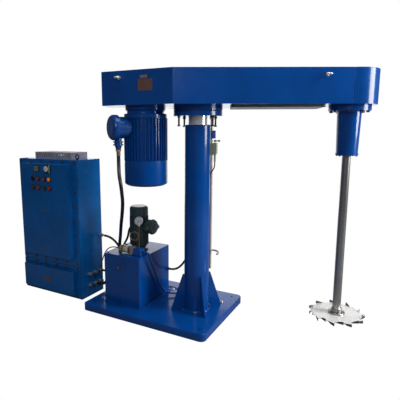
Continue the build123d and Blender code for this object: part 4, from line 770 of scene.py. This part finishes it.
def make_cord(name, points, diameter, node, sleeved=False):
    curve = bpy.data.curves.new(name, "CURVE")
    curve.dimensions = "3D"
    curve.bevel_depth = diameter / 2000
    curve.bevel_resolution = 6
    curve.resolution_u = 10
    spline = curve.splines.new("NURBS")
    spline.points.add(len(points) - 1)
    for target, point in zip(spline.points, points):
        target.co = (point[0] / 1000, point[1] / 1000, point[2] / 1000, 1)
    spline.order_u = 3
    spline.use_endpoint_u = True
    curve.use_fill_caps = True
    piece = bpy.data.objects.new(name, curve)
    bpy.context.scene.collection.objects.link(piece)
    dress(piece, RUBBER)
    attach(piece, "base")
    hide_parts(node)
    [make_sleeve(piece)] if sleeved else []


TERMINAL_GLAND = (-538.8, -391.9)
SWITCH_FOOT = (150.5, 21.2)
REAR_GLAND = (6, 590)
GLAND_FACE_X = -1065

make_cord("conduit", [
    (*TERMINAL_GLAND, 1424), (*TERMINAL_GLAND, 1348), (-522, -412, 1266), (-490, -432, 1186),
    (-504, -402, 1106), (-548, -334, 1022), (-616, -256, 900), (-700, -165, 775), (-782, -70, 640),
    (-846, -6, 505), (-884, 4, 360), (-908, -18, 235), (-952, -58, 150), (-1008, -88, 112),
    (GLAND_FACE_X, -88, 112)], 31, "motor_conduit")
make_cord("pump_lead", [
    (-456, 59, 721), (-456, 112, 721), (-506, 162, 728), (-584, 178, 742), (-662, 152, 754),
    (-722, 92, 744), (-760, 48, 690), (-776, 50, 622), (-812, 76, 566), (-862, 90, 500),
    (-898, 86, 410), (-924, 66, 322), (-966, 26, 256), (-1016, -12, 225), (GLAND_FACE_X, -12, 225)],
    22, "pump_cable")
make_cord("valve_lead", [
    (-694, -216, 570), (-732, -216, 570), (-774, -222, 567), (-812, -236, 545), (-832, -254, 500),
    (-848, -264, 444), (-872, -260, 388), (-908, -240, 334), (-950, -212, 280), (-986, -184, 246),
    (-1022, -165, 225), (GLAND_FACE_X, -165, 225)], 10, "valve_cable")
make_cord("switch_lead", [
    (GLAND_FACE_X, *REAR_GLAND), (-1020, *REAR_GLAND), (-976, 26, 572), (-938, 62, 522), (-912, 100, 440),
    (-892, 140, 336), (-872, 186, 228), (-836, 236, 136), (-764, 272, 84), (-660, 284, 69),
    (-550, 280, 69), (-440, 286, 69), (-334, 274, 69), (-242, 240, 78), (-164, 200, 122),
    (-108, 170, 204), (-70, 148, 312), (-48, 134, 430), (-34, 128, 552), (-30, 126, 676),
    (-26, 127, 800), (-18, 124, 920), (-4, 120, 1020), (26, 114, 1092), (51.1, 104.7, 1148),
    (70.1, 93, 1196), (86.6, 77.9, 1238), (100.9, 58.3, 1272), (124, 38, 1298),
    (SWITCH_FOOT[0] - 6, SWITCH_FOOT[1] + 6, 1324), (*SWITCH_FOOT, 1350), (*SWITCH_FOOT, 1376)],
    10, "switch_cable", sleeved=True)
make_cord("oil_hose", [
    (-387, 176, 298), (-325, 176, 298), (-256, 184, 344), (-206, 196, 424), (-162, 187, 490),
    (-124.1, 147.8, 520), (-86.8, 103.4, 520)], 20, "return_hose")


BASE_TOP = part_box("base_plate")[1].z
BASE_BOLTS = ((0.165, 0.197), (-0.373, 0.243), (-0.858, -0.263))
BEAD = 0.007


def make_base_bolts():
    """Hexagon bolts with washers on the base plate."""
    bm = bmesh.new()
    for place in BASE_BOLTS:
        matrix = Matrix.Translation((*place, BASE_TOP))
        lathe_into(bm, [(0.0, 0.0), (0.0150, 0.0), (0.0150, 0.0026), (0.0, 0.0026)], matrix, 28)
        lathe_into(bm, [(0.0, 0.0026), (0.0120, 0.0026), (0.0120, 0.0112), (0.0108, 0.0126), (0.0, 0.0126)], matrix, 6)
    make_piece("base_bolts", mesh_from(bm, "base_bolts"), ZINC, "base")


def make_weld_beads():
    """Fillet welds round the foot of the column and of the tank."""
    low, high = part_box("column_tube")
    radius = (high.x - low.x) / 2
    bm = bmesh.new()
    lathe_into(bm, [(radius - 0.002, 0.0), (radius + BEAD, 0.0), (radius + BEAD * 0.65, BEAD * 0.65),
                    (radius - 0.002, BEAD), (radius - 0.002, 0.0)], Matrix.Translation((0, 0, BASE_TOP)), 72)
    low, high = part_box("tank_shell")
    corners = [(low.x, low.y), (high.x, low.y), (high.x, high.y), (low.x, high.y)]
    for start, end in zip(corners, corners[1:] + corners[:1]):
        points = [Vector((*start, BASE_TOP + 0.001)), Vector((*end, BASE_TOP + 0.001))]
        tube_into(bm, points, BEAD * 0.75, 10)
    make_piece("weld_beads", mesh_from(bm, "weld_beads"), PAINT, "base")


PUMP_AXIS_Y = -0.031
PUMP_BOX_Z = 0.755
PUMP_BOX_R = 0.066


def make_pump_box_parts():
    """Rim and boss of the pump motor's terminal lid, and the brass plug on its side."""
    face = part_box("pump_motor")[1].x
    bm = bmesh.new()
    lid = facing((face, PUMP_AXIS_Y, PUMP_BOX_Z), (1, 0, 0))
    lathe_into(bm, [(PUMP_BOX_R - 0.004, -0.026), (PUMP_BOX_R + 0.005, -0.026), (PUMP_BOX_R + 0.006, -0.021),
                    (PUMP_BOX_R + 0.004, -0.014), (PUMP_BOX_R - 0.004, -0.014),
                    (PUMP_BOX_R - 0.004, -0.026)], lid)
    lathe_into(bm, [(0.0, -0.001), (0.034, -0.001), (0.031, 0.004), (0.014, 0.006), (0.012, 0.011),
                    (0.0, 0.012)], lid)
    make_piece("pump_lid_rim", mesh_from(bm, "pump_lid_rim"), PUMP_PAINT, "base")
    bm = bmesh.new()
    plug = facing((face - 0.034, PUMP_AXIS_Y - PUMP_BOX_R + 0.002, PUMP_BOX_Z), (0, -1, 0))
    lathe_into(bm, [(0.0, 0.0), (0.015, 0.0), (0.015, 0.009), (0.010, 0.010), (0.010, 0.020), (0.0, 0.021)], plug, 6)
    make_piece("pump_box_plug", mesh_from(bm, "pump_box_plug"), BRASS, "base")


BEAM_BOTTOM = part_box("beam_shell")[0].z
TRAY_SPAN = (0.27, 1.00)
TRAY_WIDTH = 0.30
TRAY_DEPTH = 0.018


def make_beam_tray():
    """Shallow sheet tray that closes the belt way under the beam."""
    centre = turned(sum(TRAY_SPAN) / 2)
    bm = bmesh.new()
    matrix = Matrix.Translation((*centre, BEAM_BOTTOM - TRAY_DEPTH)) @ Matrix.Rotation(HEAD_TURN, 4, "Z")
    plate_into(bm, matrix, TRAY_SPAN[1] - TRAY_SPAN[0], TRAY_WIDTH, TRAY_DEPTH, 0.02)
    make_piece("beam_tray", mesh_from(bm, "beam_tray", bevel=0.002), IRON, "head")


set_camera()
set_lights()
make_floor()
make_panel_devices()
make_meter()
make_display()
make_gauge()
make_beam_plates()
make_cabinet_marks()
make_base_bolts()
make_weld_beads()
make_beam_tray()
make_pump_box_parts()
